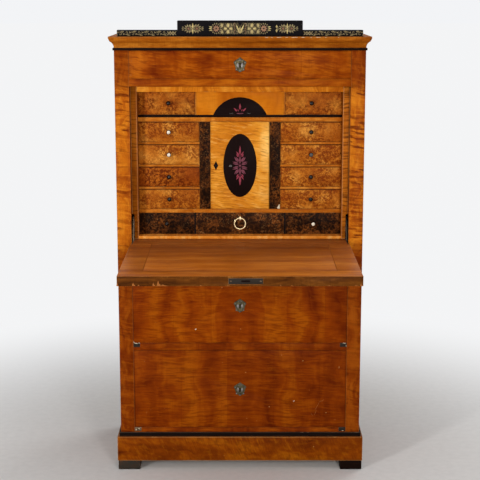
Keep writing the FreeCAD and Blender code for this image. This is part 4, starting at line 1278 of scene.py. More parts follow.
def leaf(x: float, y: float, angle: float, length: float, width: float, curl: float = 0.0) -> Outline:
    """Outline of a pointed leaf, measured in millimetres.

    Args:
        x: where the leaf starts, across.
        y: where the leaf starts, upwards.
        angle: its direction in degrees.
        length: from foot to tip.
        width: at its widest.
        curl: sideways bend of the tip in degrees.

    Returns:
        The outline's points.
    """
    steps = 7
    spine = []
    x, y, length, width = (size * MM for size in (x, y, length, width))
    for k in range(steps + 1):
        share = k / steps
        turn = math.radians(angle + curl * share)
        half = 0.5 * width * math.sin(math.pi * share ** 0.8) if 0 < k < steps else 0
        spine.append((x, y, half * math.sin(turn), half * math.cos(turn)))
        x += length / steps * math.cos(turn)
        y += length / steps * math.sin(turn)
    left = [(x - s, y + c) for x, y, s, c in spine]
    return left + [(x + s, y - c) for x, y, s, c in spine[-2:0:-1]]


def disc(x: float, y: float, radius: float, points: int = 10) -> Outline:
    """Outline of a small round spot, measured in millimetres."""
    return [((x + radius * c) * MM, (y + radius * s) * MM) for c, s in ring(points)]


def rounded(corners: Sequence[Point], steps: int = 3) -> Outline:
    """Draws a closed outline smoothly through its corners.

    Args:
        corners: the points that it passes.
        steps: points from each corner to the next.

    Returns:
        The outline's points.
    """
    made = []
    for k in range(len(corners)):
        p0, p1, p2, p3 = (Vector(corners[(k + shift) % len(corners)]) for shift in (-1, 0, 1, 2))
        for t in (step / steps for step in range(steps)):
            square = (2 * p0 - 5 * p1 + 4 * p2 - p3) * t * t
            made.append(tuple(0.5 * (2 * p1 + (p2 - p0) * t + square + (3 * p1 - p0 - 3 * p2 + p3) * t * t * t)))
    return made


def flake(x: float, y: float, length: float, width: float, turn: float, seed: int) -> Outline:
    """Ragged outline of a small chip of veneer, measured in millimetres.

    Args:
        x: middle of the chip, across.
        y: middle of the chip, upwards.
        length: along its direction.
        width: across it.
        turn: its direction in degrees.
        seed: which of the ragged outlines it has.

    Returns:
        The outline's points.
    """
    rng = random.Random(seed)
    c, s = math.cos(math.radians(turn)), math.sin(math.radians(turn))
    made = []
    for cosine, sine in ring(9):
        along = 0.5 * length * cosine * rng.uniform(0.6, 1)
        across = 0.5 * width * sine * rng.uniform(0.5, 1)
        made.append(((x + along * c - across * s) * MM, (y + along * s + across * c) * MM))
    return made


def ribbon(points: Sequence[Point], width: float, height: float) -> Mesh:
    """A brush stroke along points, highest along its middle and thin at its ends.

    Args:
        points: the stroke's path in the local XY plane.
        width: across the stroke.
        height: of its middle above the ground.

    Returns:
        The stroke's mesh.
    """
    work = bmesh.new()
    rows = []
    last = len(points) - 1
    for k, (x, y) in enumerate(points):
        (x0, y0), (x1, y1) = points[max(k - 1, 0)], points[min(k + 1, last)]
        half = width / 2 * (0.3 if k in (0, last) else 1) / (math.hypot(x1 - x0, y1 - y0) or 1)
        dx, dy = -(y1 - y0) * half, (x1 - x0) * half
        rows.append([work.verts.new(at) for at in ((x + dx, y + dy, 0), (x, y, height), (x - dx, y - dy, 0))])
    for low, high in zip(rows, rows[1:]):
        for a, b in ((1, 0), (2, 1), (0, 2)):
            work.faces.new((low[a], high[a], high[b], low[b]))
    work.faces.new(rows[0])
    work.faces.new(rows[-1][::-1])
    return work


def spiral(x: float, y: float, radius: float, start: float, turns: float, steps: int = 12) -> Outline:
    """Path of a scroll that winds in towards its centre.

    Args:
        x: eye of the scroll, across.
        y: eye of the scroll, upwards.
        radius: where the scroll starts.
        start: its first direction in degrees.
        turns: how often it winds, negative the other way.
        steps: points along it.

    Returns:
        The path's points.
    """
    path = []
    for share in (k / steps for k in range(steps + 1)):
        turn = math.radians(start + 360 * turns * share)
        reach = radius * (1 - 0.8 * share)
        path.append((x + reach * math.cos(turn), y + reach * math.sin(turn)))
    return path


def gather(parts: Iterable[Mesh]) -> Mesh:
    """Puts many meshes into one.

    Args:
        parts: the meshes, which are freed.

    Returns:
        The one mesh.
    """
    whole = bmesh.new()
    for part in parts:
        copies = {vertex: whole.verts.new(vertex.co) for vertex in part.verts}
        for face in part.faces:
            whole.faces.new([copies[vertex] for vertex in face.verts])
        part.free()
    return whole


def relief(outlines: Iterable[Sequence[Point]], thickness: float, crown: float = 0.0) -> Mesh:
    """Raises many outlines into one mesh."""
    return gather([slab(outline, thickness, crown) for outline in outlines])


def strokes(paths: Iterable[Sequence[Point]], width: float, height: float) -> Mesh:
    """Draws many strokes into one mesh."""
    return gather([ribbon(path, width, height) for path in paths])


STILL = Matrix.Identity(4)
FRONTAL = Matrix(((1, 0, 0, 0), (0, 0, -1, 0), (0, 1, 0, 0), (0, 0, 0, 1)))
DOWNWARD = Matrix(((1, 0, 0, 0), (0, -1, 0, 0), (0, 0, -1, 0), (0, 0, 0, 1)))
REARWARD = Matrix.Rotation(-math.pi / 2, 4, "X")


def on_front(x: float, y: float, z: float) -> Matrix:
    """Place of a detail that stands on a face looking to the front."""
    return Matrix.Translation((x, y, z)) @ FRONTAL


def front_of(node: str) -> Matrix:
    """Place in the middle of a node's front."""
    low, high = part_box(node)
    return on_front(0, low.y, (low.z + high.z) / 2)


def mirrored(outlines: Iterable[Sequence[Point]]) -> list[Outline]:
    """Outlines and their mirror images about the local Y axis."""
    kept = [list(outline) for outline in outlines]
    return kept + [[(-x, y) for x, y in reversed(outline)] for outline in kept]


@dataclass
class Assembly:
    """A sub-assembly that is dressed by the joiner."""

    joiner: Joiner

    def dress(self) -> None:
        """Finishes the nodes and adds the details; each sub-assembly gives its own."""
        raise NotImplementedError


@dataclass
class Knob:
    """Turned knob with a seat, a waist and a domed head."""

    joiner: Joiner
    radius: float = 7.5 * MM
    length: float = 17.2 * MM
    steps: int = 36

    PROFILE = (
        (0.61, 0), (0.61, 0.045), (0.56, 0.085), (0.45, 0.115), (0.41, 0.2), (0.43, 0.3), (0.62, 0.345), (0.86, 0.42),
        (0.98, 0.51), (1, 0.58), (0.97, 0.66), (0.9, 0.74), (0.93, 0.765), (0.86, 0.8), (0.68, 0.89), (0.42, 0.955),
        (0.2, 0.985), (0, 0.99),
    )
    BUTTON = ((0.8, 0.8), (0.79, 0.86), (0.7, 0.92), (0.44, 0.975), (0.2, 0.995), (0, 1))

    def turned(self, shares: Iterable[Point]) -> Mesh:
        """Turns a profile given in shares of the knob's radius and length."""
        return lathe([(share * self.radius, height * self.length) for share, height in shares], self.steps)

    def build(self, name: str, body: str, finish: Finish, place: Matrix) -> None:
        """Makes one knob.

        Args:
            name: name of the piece.
            body: body that it rides on.
            finish: horn throughout, or what the button in a horn collar is of.
            place: its seat on the drawer front.
        """
        shells = [(self.turned(self.PROFILE), Finish.HORN)]
        if finish is not Finish.HORN:
            shells.append((self.turned(self.BUTTON), finish))
        self.joiner.add(name, body, None if finish is Finish.BONE else Slot.EBONY, place, *shells)


@dataclass
class KeyholePlate:
    """Cast plate round a keyhole: shield, raised border, scrolls, crest and foot."""

    joiner: Joiner
    width: float = 42 * MM
    height: float = 49.5 * MM
    base: float = 1.3 * MM
    border: float = 0.8 * MM
    eye: float = 2.7 * MM

    OUTLINE_SHARES = (
        (0, 0.5), (0.08, 0.45), (0.16, 0.4), (0.25, 0.35), (0.33, 0.3), (0.43, 0.25), (0.5, 0.18), (0.49, 0.09),
        (0.43, 0.02), (0.4, -0.09), (0.36, -0.19), (0.31, -0.26), (0.36, -0.32), (0.31, -0.39), (0.19, -0.4),
        (0.1, -0.46), (0, -0.5),
    )

    def bars(self, sign: int) -> list[Shell]:
        """The rolled scroll at one shoulder and the stem from there down to the foot.

        Args:
            sign: which shoulder.

        Returns:
            The two bars.
        """
        scroll, stem = [], []
        for share in (k / 25 for k in range(26)):
            turn, reach = math.radians(200 - 430 * share), (0.12 - 0.085 * share) * self.width
            x, y = 0.35 * self.width + reach * math.cos(turn), 0.15 * self.height + reach * math.sin(turn)
            scroll.append((x, y, 0.5 * share, 1.1 - 0.3 * share))
        for share in (k / 14 for k in range(15)):
            x = self.width * (0.24 - 0.17 * share + 0.05 * math.sin(math.pi * share))
            thick = 0.5 + 1.05 * math.sin(math.pi * (0.15 + 0.8 * share))
            stem.append((x, self.height * (0.05 - 0.45 * share), 0.2, thick))
        bars = []
        for bar in (scroll, stem):
            path = [Vector((sign * x, y, self.base + lift * MM)) for x, y, lift, _ in bar]
            bars.append((sweep(path, [thick * MM for *_, thick in bar], 8), Finish.BRASS))
        return bars

    def lobes(self) -> Mesh:
        """Rubbed lobes beside the keyhole, at the shoulders and at the foot.

        Returns:
            Their mesh.
        """
        wide, tall = self.width / MM, self.height / MM
        outlines = mirrored([
            leaf(0.18 * wide, 0.12 * tall, 271, 0.38 * tall, 0.19 * wide, -6),
            disc(0.38 * wide, 0.13 * tall, 0.05 * wide),
            disc(0.29 * wide, -0.31 * tall, 0.055 * wide),
            disc(0.1 * wide, 0.3 * tall, 0.04 * wide),
        ])
        outlines.append(leaf(0, 0.22 * tall, 90, 0.2 * tall, 0.08 * wide))
        outlines.append(disc(0, -0.42 * tall, 0.05 * wide))
        return relief(outlines, 0.9 * MM, 1.1 * MM)

    def keyhole(self) -> Mesh:
        """A black sheet in the keyhole's shape, a round eye over a slot, that paints the shade inside the hole.

        Returns:
            Its mesh.
        """
        turns = [math.radians(225 - 15 * k) for k in range(19)]
        outline = [(self.eye * math.cos(turn), 3 * MM + self.eye * math.sin(turn)) for turn in turns]
        outline += [(2.5 * MM, -9.5 * MM), (-2.5 * MM, -9.5 * MM)]
        return slab(outline[::-1], 0.3 * MM)

    def build(self, name: str, body: str, place: Matrix, stands_for: Sequence[str] = ()) -> None:
        """Makes one plate with its keyhole at the local origin.

        Args:
            name: name of the piece.
            body: body that it rides on.
            place: where it goes.
            stands_for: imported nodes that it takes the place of.
        """
        right = [(x * self.width, y * self.height) for x, y in self.OUTLINE_SHARES]
        outline = rounded(right + [(-x, y) for x, y in right[-2:0:-1]])
        rim = [Vector((0.94 * x, 0.94 * y, self.base)) for x, y in outline]
        on_top = Matrix.Translation((0, 0, self.base))
        shells = [
            (slab(outline, self.base), Finish.BRASS),
            (sweep(rim, [self.border] * len(rim), 8, closed=True), Finish.BRASS),
            (moved(self.lobes(), on_top), Finish.STEEL),
            # Painted shade of the keyhole: a black sheet on the plate.
            (moved(self.keyhole(), on_top), Finish.BLACK),
        ]
        for sign in (-1, 1):
            shells += self.bars(sign)
        self.joiner.add(name, body, Slot.BRASS, place, *shells, stands_for=stands_for)


def slotted(radius: float) -> Mesh:
    """A domed screw head with a slot between its halves.

    Args:
        radius: of the head.

    Returns:
        The head's mesh.
    """
    turns = [math.radians(12 + 156 * k / 10) for k in range(11)]
    half = [(radius * math.sin(turn), radius * math.cos(turn)) for turn in turns]
    return relief([[(-x, y) for x, y in half[::-1]], half], 0.35 * MM, 0.2 * MM)


@dataclass
class Carcass(Assembly):
    """Case of sides, stiles, rails and boards, with its back and small irons."""

    nail_radius: float = 2.6 * MM
    nail_inset: float = 14 * MM
    screw_radius: float = 2.4 * MM

    SHELVES = (0.448, 0.805, 1.3525)
    CHIPS = (
        (-1, 1, 9, -1, 15, 3.4), (-1, 1, 2, 3, 5, 4), (-1, 1, 20, 0, 6, 3), (1, 1, -8, -0.5, 13, 3),
        (1, 1, -2, -10, 3, 5), (-1, -1, 5, 5, 6, 4), (-1, -1, 15, 9, 7, 3), (1, -1, -9, 2, 9, 3),
    )

    def dress(self) -> None:
        """Finishes every board of the case."""
        joiner = self.joiner
        for side in ("left", "right"):
            joiner.dress(f"side_panel_{side}", wood(Finish.SIDE, Axis.Z), Slot.FIGURED)
            joiner.dress(f"stile_{side}", wood(Finish.STILE, Axis.Z, 1.2), Slot.FIGURED)
        joiner.dress_all(wood(Finish.RAIL, Axis.Z), Slot.FIGURED, "frieze_rail", "fall_rail")
        joiner.dress_all(wood(Finish.LOWER_DRAWER, Axis.Z), Slot.FIGURED, "middle_rail", "base_rail")
        joiner.dress_all(wood(Finish.PINE, Axis.X), Slot.PINE, "dust_boards", "writing_bed", "case_top")
        joiner.dress("back_boards", wood(Finish.PINE, Axis.Z, 1.4), Slot.PINE)
        joiner.dress("drawer_guides", wood(Finish.PINE, Axis.Y), Slot.PINE)
        plates = mixed((2,), Finish.RUBBED_IRON, Finish.IRON, Axis.X, 0.4)
        joiner.dress("rail_wear_plates", plates, Slot.IRON)
        self.nails()
        self.screws()
        self.chips()

    def nails(self) -> None:
        """Heads of the nails that hold the back boards."""
        low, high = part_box("back_boards")
        width = (high.x - low.x) / 3
        profile = ((self.nail_radius, 0), (self.nail_radius * 0.8, 0.7 * MM), (0, 0.9 * MM))
        heads = []
        for x in (low.x + width * (board + share) for board in range(3) for share in (0.14, 0.86)):
            for z in (low.z + self.nail_inset, *self.SHELVES, high.z - self.nail_inset):
                place = Matrix.Translation((x, high.y, z)) @ REARWARD
                heads.append(moved(lathe(profile, 12), place))
        self.joiner.add("back_nails", "carcass", Slot.IRON, STILL, (gather(heads), Finish.IRON))

    def screws(self) -> None:
        """Slotted screws in the small plates at the rail ends."""
        low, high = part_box("rail_wear_plates")
        heads = [
            moved(slotted(self.screw_radius), on_front(x, low.y, z))
            for z in (low.z + 7 * MM, high.z - 7 * MM)
            for x in (low.x + 11.5 * MM, high.x - 11.5 * MM)
        ]
        self.joiner.add("wear_plate_screws", "carcass", Slot.IRON, STILL, (gather(heads), Finish.IRON))

    def chips(self) -> None:
        """Pale chips of veneer round the plates at the rail ends."""
        low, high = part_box("rail_wear_plates")
        flakes = []
        for k, (side, level, x, z, length, width) in enumerate(self.CHIPS):
            x += (high.x if side > 0 else low.x) / MM
            z += (high.z if level > 0 else low.z) / MM
            flakes.append(flake(x, z, length, width, 12 * (k % 3) - 10, k))
        chips = (relief(flakes, 0.12 * MM), Finish.CHIP)
        self.joiner.add("rail_end_chips", "carcass", None, on_front(0, low.y, 0), chips)


@dataclass
class Base(Assembly):
    """Plinth, block feet and the ebonised string above them."""

    INSIDE = {0: Facing.REAR, 2: Facing.RIGHT, 3: Facing.LEFT}

    def dress(self) -> None:
        """Finishes the base."""
        feet = mixed((0,), Finish.GREYED, Finish.EBONY, Axis.X, 1.5)
        self.joiner.dress("plinth", self.plinth_coat, Slot.FIGURED)
        self.joiner.dress("block_feet", feet, Slot.EBONY)
        self.joiner.dress("base_string", round_case(Finish.WORN_EBONY, 1.4), Slot.EBONY)

    def plinth_coat(self, solid: Solid) -> Coat:
        """Veneer on the outside of the plinth, bare pine within and at the back.

        Args:
            solid: one board of the plinth.

        Returns:
            Its coat.
        """
        if solid.number not in self.INSIDE:
            return Coat(Finish.PINE, Axis.X, 1.2)
        sides = {Facing.UNDER: Finish.PINE, self.INSIDE[solid.number]: Finish.PINE}
        return Coat(Finish.PLINTH, Axis.Y if solid.number else Axis.X, 1.3, sides)


def fan(x: float, away: float, turns: Iterable[float], *size: float, y: float = 0.0) -> list[Outline]:
    """Leaves that point outwards round a spot, measured in millimetres.

    Args:
        x: the spot, across.
        away: how far from the spot the leaves start.
        turns: the heading of each leaf, in degrees.
        size: length, width and bend of a leaf.
        y: the spot, upwards.

    Returns:
        One outline for each leaf.
    """
    made = []
    for turn in turns:
        lean = math.radians(turn)
        made.append(leaf(x + away * math.cos(lean), y + away * math.sin(lean), turn, *size))
    return made


@dataclass
class Crown(Assembly):
    """Cornice, bead and the black pediment with its stencilled ornament."""

    relief: float = 0.35 * MM
    centre_half: float = 206 * MM
    wing_half: float = 411 * MM
    vine_turns: int = 8

    NICKS = (
        (86, 14), (104, 7), (128, 20), (152, 12), (178, 26), (206, 16), (232, 8), (256, 18), (280, 7), (322, 6),
        (-40, 6),
    )

    def dress(self) -> None:
        """Finishes the crown and adds the ornament."""
        dress = self.joiner.dress
        dress("cornice", round_case(Finish.CORNICE, 1.2), Slot.FIGURED)
        dress("cornice_bead", round_case(Finish.EBONY, 2.4), Slot.EBONY)
        dress("pediment_centre", wood(Finish.JET, Axis.X, 1.6), Slot.EBONY)
        dress("pediment_wings", wood(Finish.JET, Axis.X, 1.4), Slot.EBONY)
        self.block_ornament()
        self.wing_vines()
        self.losses()

    def raise_all(self, outlines: Iterable[Outline], share: float = 1.0) -> Mesh:
        """Raises outlines to the ornament's height, or a share of it."""
        return relief(outlines, share * self.relief, share * self.relief)

    def block_ornament(self) -> None:
        """Heart leaves, crossed fans and a medallion in the middle of the block, and flowers at its ends."""
        heart = fan(0, 0, (90,), 18, 3.6, y=-9)
        bright = fan(0, 0, (69,), 35, 5.6, -6, y=-17)
        medals = [disc(17.5, 5.6 * row, 1.5, 8) for row in range(-3, 4)]
        dull = fan(0, 3, (40, 84), 15, 3.6, y=-17)
        ground: list[Outline] = []
        for column in range(10):
            for row in range(-3, 4):
                x = 5 + 6.4 * column + 3.2 * (row % 2)
                ground += fan(x, 0, (35, 145, 215, 325), 4.4, 0.8, 30, y=5.4 * row)
        for heading, reach in ((0, 13), (90, 16), (180, 13), (270, 16)):
            bright += fan(39, 3, (heading - 8, heading + 8), reach, 4)
            dull += fan(39, 3, (heading - 24, heading + 24), reach, 4.4)
        for heading in (90, 270):
            dull += fan(59, 5, (heading - 16, heading + 16), 13, 4)
            bright += fan(59, 3, (heading,), 15, 4)
            dull += fan(25, 7, (heading - 12, heading + 14), 11, 3)
        medals += fan(78, 2, range(0, 360, 40), 10, 5)
        dull += fan(78, 13, range(0, 360, 24), 6, 4)
        bright += fan(78, 14, (-16, 0, 16), 11, 3.4)
        for x, outward in ((141, 180), (169, 0)):
            dull += fan(x, 5, range(0, 360, 36), 11, 4.4, 20)
            dull += fan(x, 15, (outward - 14, outward, outward + 14), 8, 3)
            medals += fan(x, 0.5, range(0, 360, 72), 4.5, 2.6)
        dull += fan(155, 3, (52, 128, 232, 308), 14, 3.6)
        bright += fan(155, 1, (90, 270), 17, 5)
        bud = fan(120, 1.5, (90, 270), 11, 6)
        self.joiner.add(
            "pediment_ornament", "carcass", None, front_of("pediment_centre"),
            (self.raise_all(heart + mirrored(bright) + bud), Finish.GILT),
            (self.raise_all(mirrored(dull)), Finish.DULL_GILT),
            (self.raise_all(mirrored(ground), 0.6), Finish.DULL_GILT),
            (self.raise_all(mirrored(medals)), Finish.RED_GILT),
        )

    def wing_vines(self) -> None:
        """Running scroll along each wing, closing in a small lattice by the block."""
        start, end = self.centre_half + 34 * MM, self.wing_half - 8 * MM
        pitch = (end - start) / self.vine_turns
        leaves: list[Outline] = []
        lines: list[Outline] = []
        for k in range(self.vine_turns):
            x = start + pitch * (k + 0.5)
            mid = x / MM
            sign = 1 if k % 2 else -1
            shares = [step / 8 for step in range(9)]
            lines.append([(x + pitch * (share - 0.5), 5 * MM * sign * math.sin(math.pi * share)) for share in shares])
            lines.append(spiral(x, -2.4 * MM * sign, 5.2 * MM, 60 * sign, sign))
            leaves.append(leaf(mid - 2, 5 * sign, 150 * sign, 9, 3.4, 50 * sign))
            leaves.append(leaf(mid + 6, sign, 20 * sign, 8, 3.4, 60 * sign))
            leaves.append(disc(mid + 0.5 * pitch / MM, -6 * sign, 1.7))
        lattice: list[Outline] = []
        for x in (self.centre_half / MM + 9 + 9 * k for k in range(3)):
            lattice += fan(x, 0, (45, 135, 225, 315), 9, 3.4)
            lattice += [disc(x + 4.5, y, 1.7) for y in (5.4, -5.4)]
        self.joiner.add(
            "pediment_vines", "carcass", None, front_of("pediment_wings"),
            (self.raise_all(mirrored(leaves)), Finish.DULL_GILT),
            (strokes(mirrored(lines), 1.7 * MM, 1.5 * self.relief), Finish.DULL_GILT),
            (self.raise_all(mirrored(lattice)), Finish.DULL_GILT),
        )

    def losses(self) -> None:
        """Pale nicks along the top edge of the cornice."""
        low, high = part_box("cornice")
        nicks = [
            flake(x, 0, length, 1.5, 3 * (k % 3) - 3, 20 + k) for k, (x, length) in enumerate(self.NICKS)
        ]
        place = on_front(0, low.y, high.z - 2.2 * MM)
        self.joiner.add("cornice_nicks", "carcass", None, place, (relief(nicks, 0.12 * MM), Finish.CHIP))


@dataclass
class WritingFlap(Assembly):
    """Drop flap with inlaid string, irons, lock and keyhole plate."""

    plate: KeyholePlate
    screw_radius: float = 2.7 * MM
    screw_inset: float = 7 * MM
    mouth_half: float = 13 * MM
    mouth_rise: float = 3 * MM

    SPLINTER = ((0, 0), (1, 0), (0.72, 0.3), (0.5, 0.42), (0.36, 1), (0.14, 0.5))
    SPLINTERS = (
        (-367, 7, 12), (-321, 11, 10), (-304, 7, 4), (-260, 8, 11), (-247, 13, 17), (-238, 27, 4.5), (-120, 9, 2.4),
        (-40, 14, 2), (118, 6, 4), (150, 10, 2), (260, 14, 2), (340, 12, 3), (356, 10, 8),
    )
    FLECKS = (
        (-196, 0.36, 6), (-124, 0.47, 7), (-124, 0.4, 3), (-75, 0.56, 5), (226, 0.48, 6), (228, 0.7, 11),
        (234, 0.68, 7), (-40, 0.62, 4), (96, 0.3, 4), (300, 0.2, 3), (-300, 0.25, 3), (20, 0.86, 12),
        (-8, 0.8, 9), (12, 0.74, 6),
    )

    def dress(self) -> None:
        """Finishes the flap and its metalwork."""
        dress = self.joiner.dress
        faces = wood(Finish.FLAP_EDGE, Axis.X, 1.3, top=Finish.FLAP_TOP, under=Finish.FLAP_OUTER)
        dress("flap_panel", faces, Slot.FIGURED)
        dress("flap_stringing", self.string_coat, Slot.EBONY)
        dress("flap_lock", wood(Finish.IRON, Axis.X, 0.4), Slot.IRON)
        dress("flap_stays", mixed((0,), Finish.RUBBED_IRON, Finish.IRON, Axis.Y, 1.2), Slot.IRON)
        dress("flap_bearings", wood(Finish.IRON, Axis.Z, 0.4), Slot.IRON)
        low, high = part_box("flap_escutcheon")
        place = Matrix.Translation(((low.x + high.x) / 2, (low.y + high.y) / 2, high.z)) @ DOWNWARD
        self.plate.build("flap_keyhole_plate", "flap", place, ("flap_escutcheon",))
        self.screws()
        self.torn_edge()
        self.flecks()

    def string_coat(self, solid: Solid) -> Coat:
        """Dark string along its own length."""
        return Coat(Finish.STRING, Axis.Y if solid.number < 2 else Axis.X, 0.15)

    def screws(self) -> None:
        """Screws, and a black sheet that paints the shade inside the bolt mouth on the lock's edge plate."""
        low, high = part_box("flap_lock")
        middle = (low.z + high.z) / 2
        heads = [
            moved(slotted(self.screw_radius), on_front(x, low.y, middle))
            for x in (low.x + self.screw_inset, high.x - self.screw_inset)
        ]
        wide, tall = self.mouth_half, self.mouth_rise
        # Painted shade of the bolt mouth: a black sheet on the edge plate.
        mouth = slab([(-wide, -tall), (wide, -tall), (wide, tall), (-wide, tall)], 0.2 * MM)
        moved(mouth, on_front((low.x + high.x) / 2, low.y, middle))
        shells = ((gather(heads), Finish.RUBBED_IRON), (mouth, Finish.BLACK))
        self.joiner.add("flap_lock_screws", "flap", Slot.IRON, STILL, *shells)

    def torn_edge(self) -> None:
        """Splintered veneer along the lower arris of the flap's front edge."""
        low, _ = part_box("flap_panel")
        flakes = [
            [((x + u * length) * MM, (0.9 + v * tall) * MM) for u, v in self.SPLINTER]
            for x, length, tall in self.SPLINTERS
        ]
        torn = (relief(flakes, 0.12 * MM), Finish.SPLINTER)
        self.joiner.add("flap_torn_edge", "flap", None, on_front(0, low.y, low.z), torn)

    def flecks(self) -> None:
        """Small pale flecks and rubs on the writing face."""
        low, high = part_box("flap_panel")
        flakes = []
        for k, (x, share, length) in enumerate(self.FLECKS):
            y = (low.y + share * (high.y - low.y)) / MM
            flakes.append(flake(x, y, length, 0.4 * length, 37 * k, 70 + k))
        flecks = (relief(flakes, 0.1 * MM), Finish.SPLINTER)
        self.joiner.add("flap_flecks", "flap", None, Matrix.Translation((0, 0, high.z)), flecks)


@dataclass
class Fitment(Assembly):
    """Interior of facings, shelves, uprights, band, pilasters and the arched panel."""

    LOSS = ((0, 0), (-8, 1), (-9, 5), (-6, 8), (-4.5, 13), (-1, 16))

    def dress(self) -> None:
        """Finishes the interior and adds its painted motif."""
        dress = self.joiner.dress
        dress("flap_stop_frame", self.facing_coat, Slot.INTERIOR)
        dress("fitment_case", mixed((0, 1), Finish.GOLDEN, Finish.JAMB, Axis.Y, 0.8), Slot.INTERIOR)
        dress("fitment_back", wood(Finish.PINE, Axis.X), Slot.PINE)
        dress("fitment_shelves", wood(Finish.GOLDEN, Axis.X, 0.8), Slot.INTERIOR)
        dress("fitment_partitions", mixed(range(4), Finish.GOLDEN, Finish.JET, Axis.Z, 0.5), Slot.INTERIOR)
        dress("fitment_band", wood(Finish.EBONY, Axis.X, 0.8), Slot.EBONY)
        dress("pilasters", wood(Finish.MOTTLED, Axis.Z), Slot.MOTTLED)
        dress("arch_panel", wood(Finish.ARCH, Axis.Z, 0.4), Slot.INTERIOR)
        dress("arch_lunette", wood(Finish.BLACK, Axis.X, 0.4), Slot.EBONY)
        self.palmette()
        self.loss()

    def facing_coat(self, solid: Solid) -> Coat:
        """Cross-banded facings round the fitment: head, sill and jambs.

        Args:
            solid: one of the facings.

        Returns:
            Its coat.
        """
        level = solid.number < 2
        finish = (Finish.CROSSBAND, Finish.SILL)[solid.number] if level else Finish.JAMB
        return Coat(finish, Axis.Z, (0.8 if level else 1.4))

    def palmette(self) -> None:
        """Rose palmette and grey scrolls on the lunette."""
        low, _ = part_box("arch_lunette")
        sides = mirrored([leaf(10, 11.5, 52, 16, 5, -14), leaf(5.4, 11.5, 76, 9, 2.8)])
        petals = [leaf(0, 17, 90, 21, 7), *sides]
        base = [(x * MM, (4.2 + 0.008 * x * x) * MM) for x in range(-12, 13, 4)]
        scrolls = mirrored([[((23 + 1.2 * k) * MM, (5 + 0.9 * math.sin(k * 0.7)) * MM) for k in range(12)]])
        self.joiner.add(
            "lunette_palmette", "carcass", None, on_front(0, low.y, low.z),
            (relief(petals, 0.2 * MM, 0.2 * MM), Finish.ROSE),
            (ribbon(base, 3 * MM, 0.3 * MM), Finish.MAUVE),
            (strokes(scrolls, 1.3 * MM, 0.2 * MM), Finish.GREY),
        )

    def loss(self) -> None:
        """Lost corner of the right pilaster where pale ground shows."""
        low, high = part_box("pilasters")
        corner = slab([(x * MM, y * MM) for x, y in self.LOSS[::-1]], 0.15 * MM)
        place = on_front(high.x - 0.8 * MM, low.y, low.z + 1 * MM)
        self.joiner.add("pilaster_loss", "carcass", None, place, (corner, Finish.CHIP))


@dataclass
class Cupboard(Assembly):
    """Door of ripple birch with an ebonised oval and a painted ornament."""

    lozenge_inset: float = 7.25 * MM
    lozenge_half: Point = (7.8 * MM, 16.5 * MM)

    FLAMES = ((3, 33, 66, 19, 4.6, -24), (4.5, 29, 44, 15, 4, 40))
    STAR = (
        (3.5, 14, 62, 20, 5, -20), (5, 12, 40, 23, 5.4, 30), (5, 7, 22, 22, 5, -16), (4, 3, 8, 22, 4.4, 10),
        (13, 20, 74, 10, 2.8, -60),
    )
    SLOT = ((-0.7, 1.5), (-1, -4.5), (1, -4.5), (0.7, 1.5))

    def dress(self) -> None:
        """Finishes the door, its inlays and pivots."""
        dress = self.joiner.dress
        dress("cupboard_door", wood(Finish.DOOR, Axis.Z, 0.7), Slot.INTERIOR)
        dress("door_inlays", wood(Finish.BLACK, Axis.Z, 0.25), Slot.EBONY)
        dress("door_pivots", wood(Finish.IRON, Axis.Z, 0.2), Slot.IRON)
        self.ornament()
        self.keyhole()

    @staticmethod
    def sprays(rows: Iterable[tuple[float, ...]], sign: int) -> list[Outline]:
        """Leaves on both sides of the upright axis, above or below the middle."""
        turned = [(x, sign * y, sign * turn, long, wide, sign * curl) for x, y, turn, long, wide, curl in rows]
        return mirrored([leaf(*row) for row in turned])

    def ornament(self) -> None:
        """Upright foliate ornament on the oval."""
        flames: list[Outline] = []
        star: list[Outline] = []
        for sign, width in ((1, 6), (-1, 7.5)):
            flames += [leaf(0, sign * 35, 90 * sign, 34, width), *self.sprays(self.FLAMES, sign)]
            star += [leaf(0, sign * 5, 90 * sign, 32, 6), *self.sprays(self.STAR, sign)]
        star.append(disc(0, 0, 4))
        chip = slab(flake(-32, -1, 14, 11, 0, 3), 0.15 * MM)
        self.joiner.add(
            "door_ornament", "cupboard_door", None, front_of("door_inlays"),
            (relief(flames, 0.2 * MM, 0.15 * MM), Finish.ROSE),
            (relief(star, 0.2 * MM, 0.15 * MM), Finish.MAUVE),
            (chip, Finish.GREY),
        )

    def keyhole(self) -> None:
        """Small keyhole in the lozenge, a dark sheet that paints the shade inside the hole."""
        low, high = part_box("door_inlays")
        wide, tall = self.lozenge_half
        ground = slab([(wide, 0), (0, tall), (-wide, 0), (0, -tall)], 0.1 * MM)
        slot = [(x * MM, y * MM) for x, y in self.SLOT]
        # The keyhole's eye and slot are a dark sheet that paints the shade inside the hole.
        eye = relief([disc(0, 2, 1.5), slot], 0.15 * MM)
        place = on_front(low.x + self.lozenge_inset, low.y, (low.z + high.z) / 2)
        self.joiner.add("door_keyhole", "cupboard_door", None, place, (ground, Finish.BLACK), (eye, Finish.HORN))


@dataclass(frozen=True)
class Scar:
    """A chip or scratch on a drawer front, placed in millimetres from the front's middle."""

    x: float
    z: float
    length: float
    width: float = 1.4
    turn: float = 0.0
    finish: Finish = Finish.SPLINTER


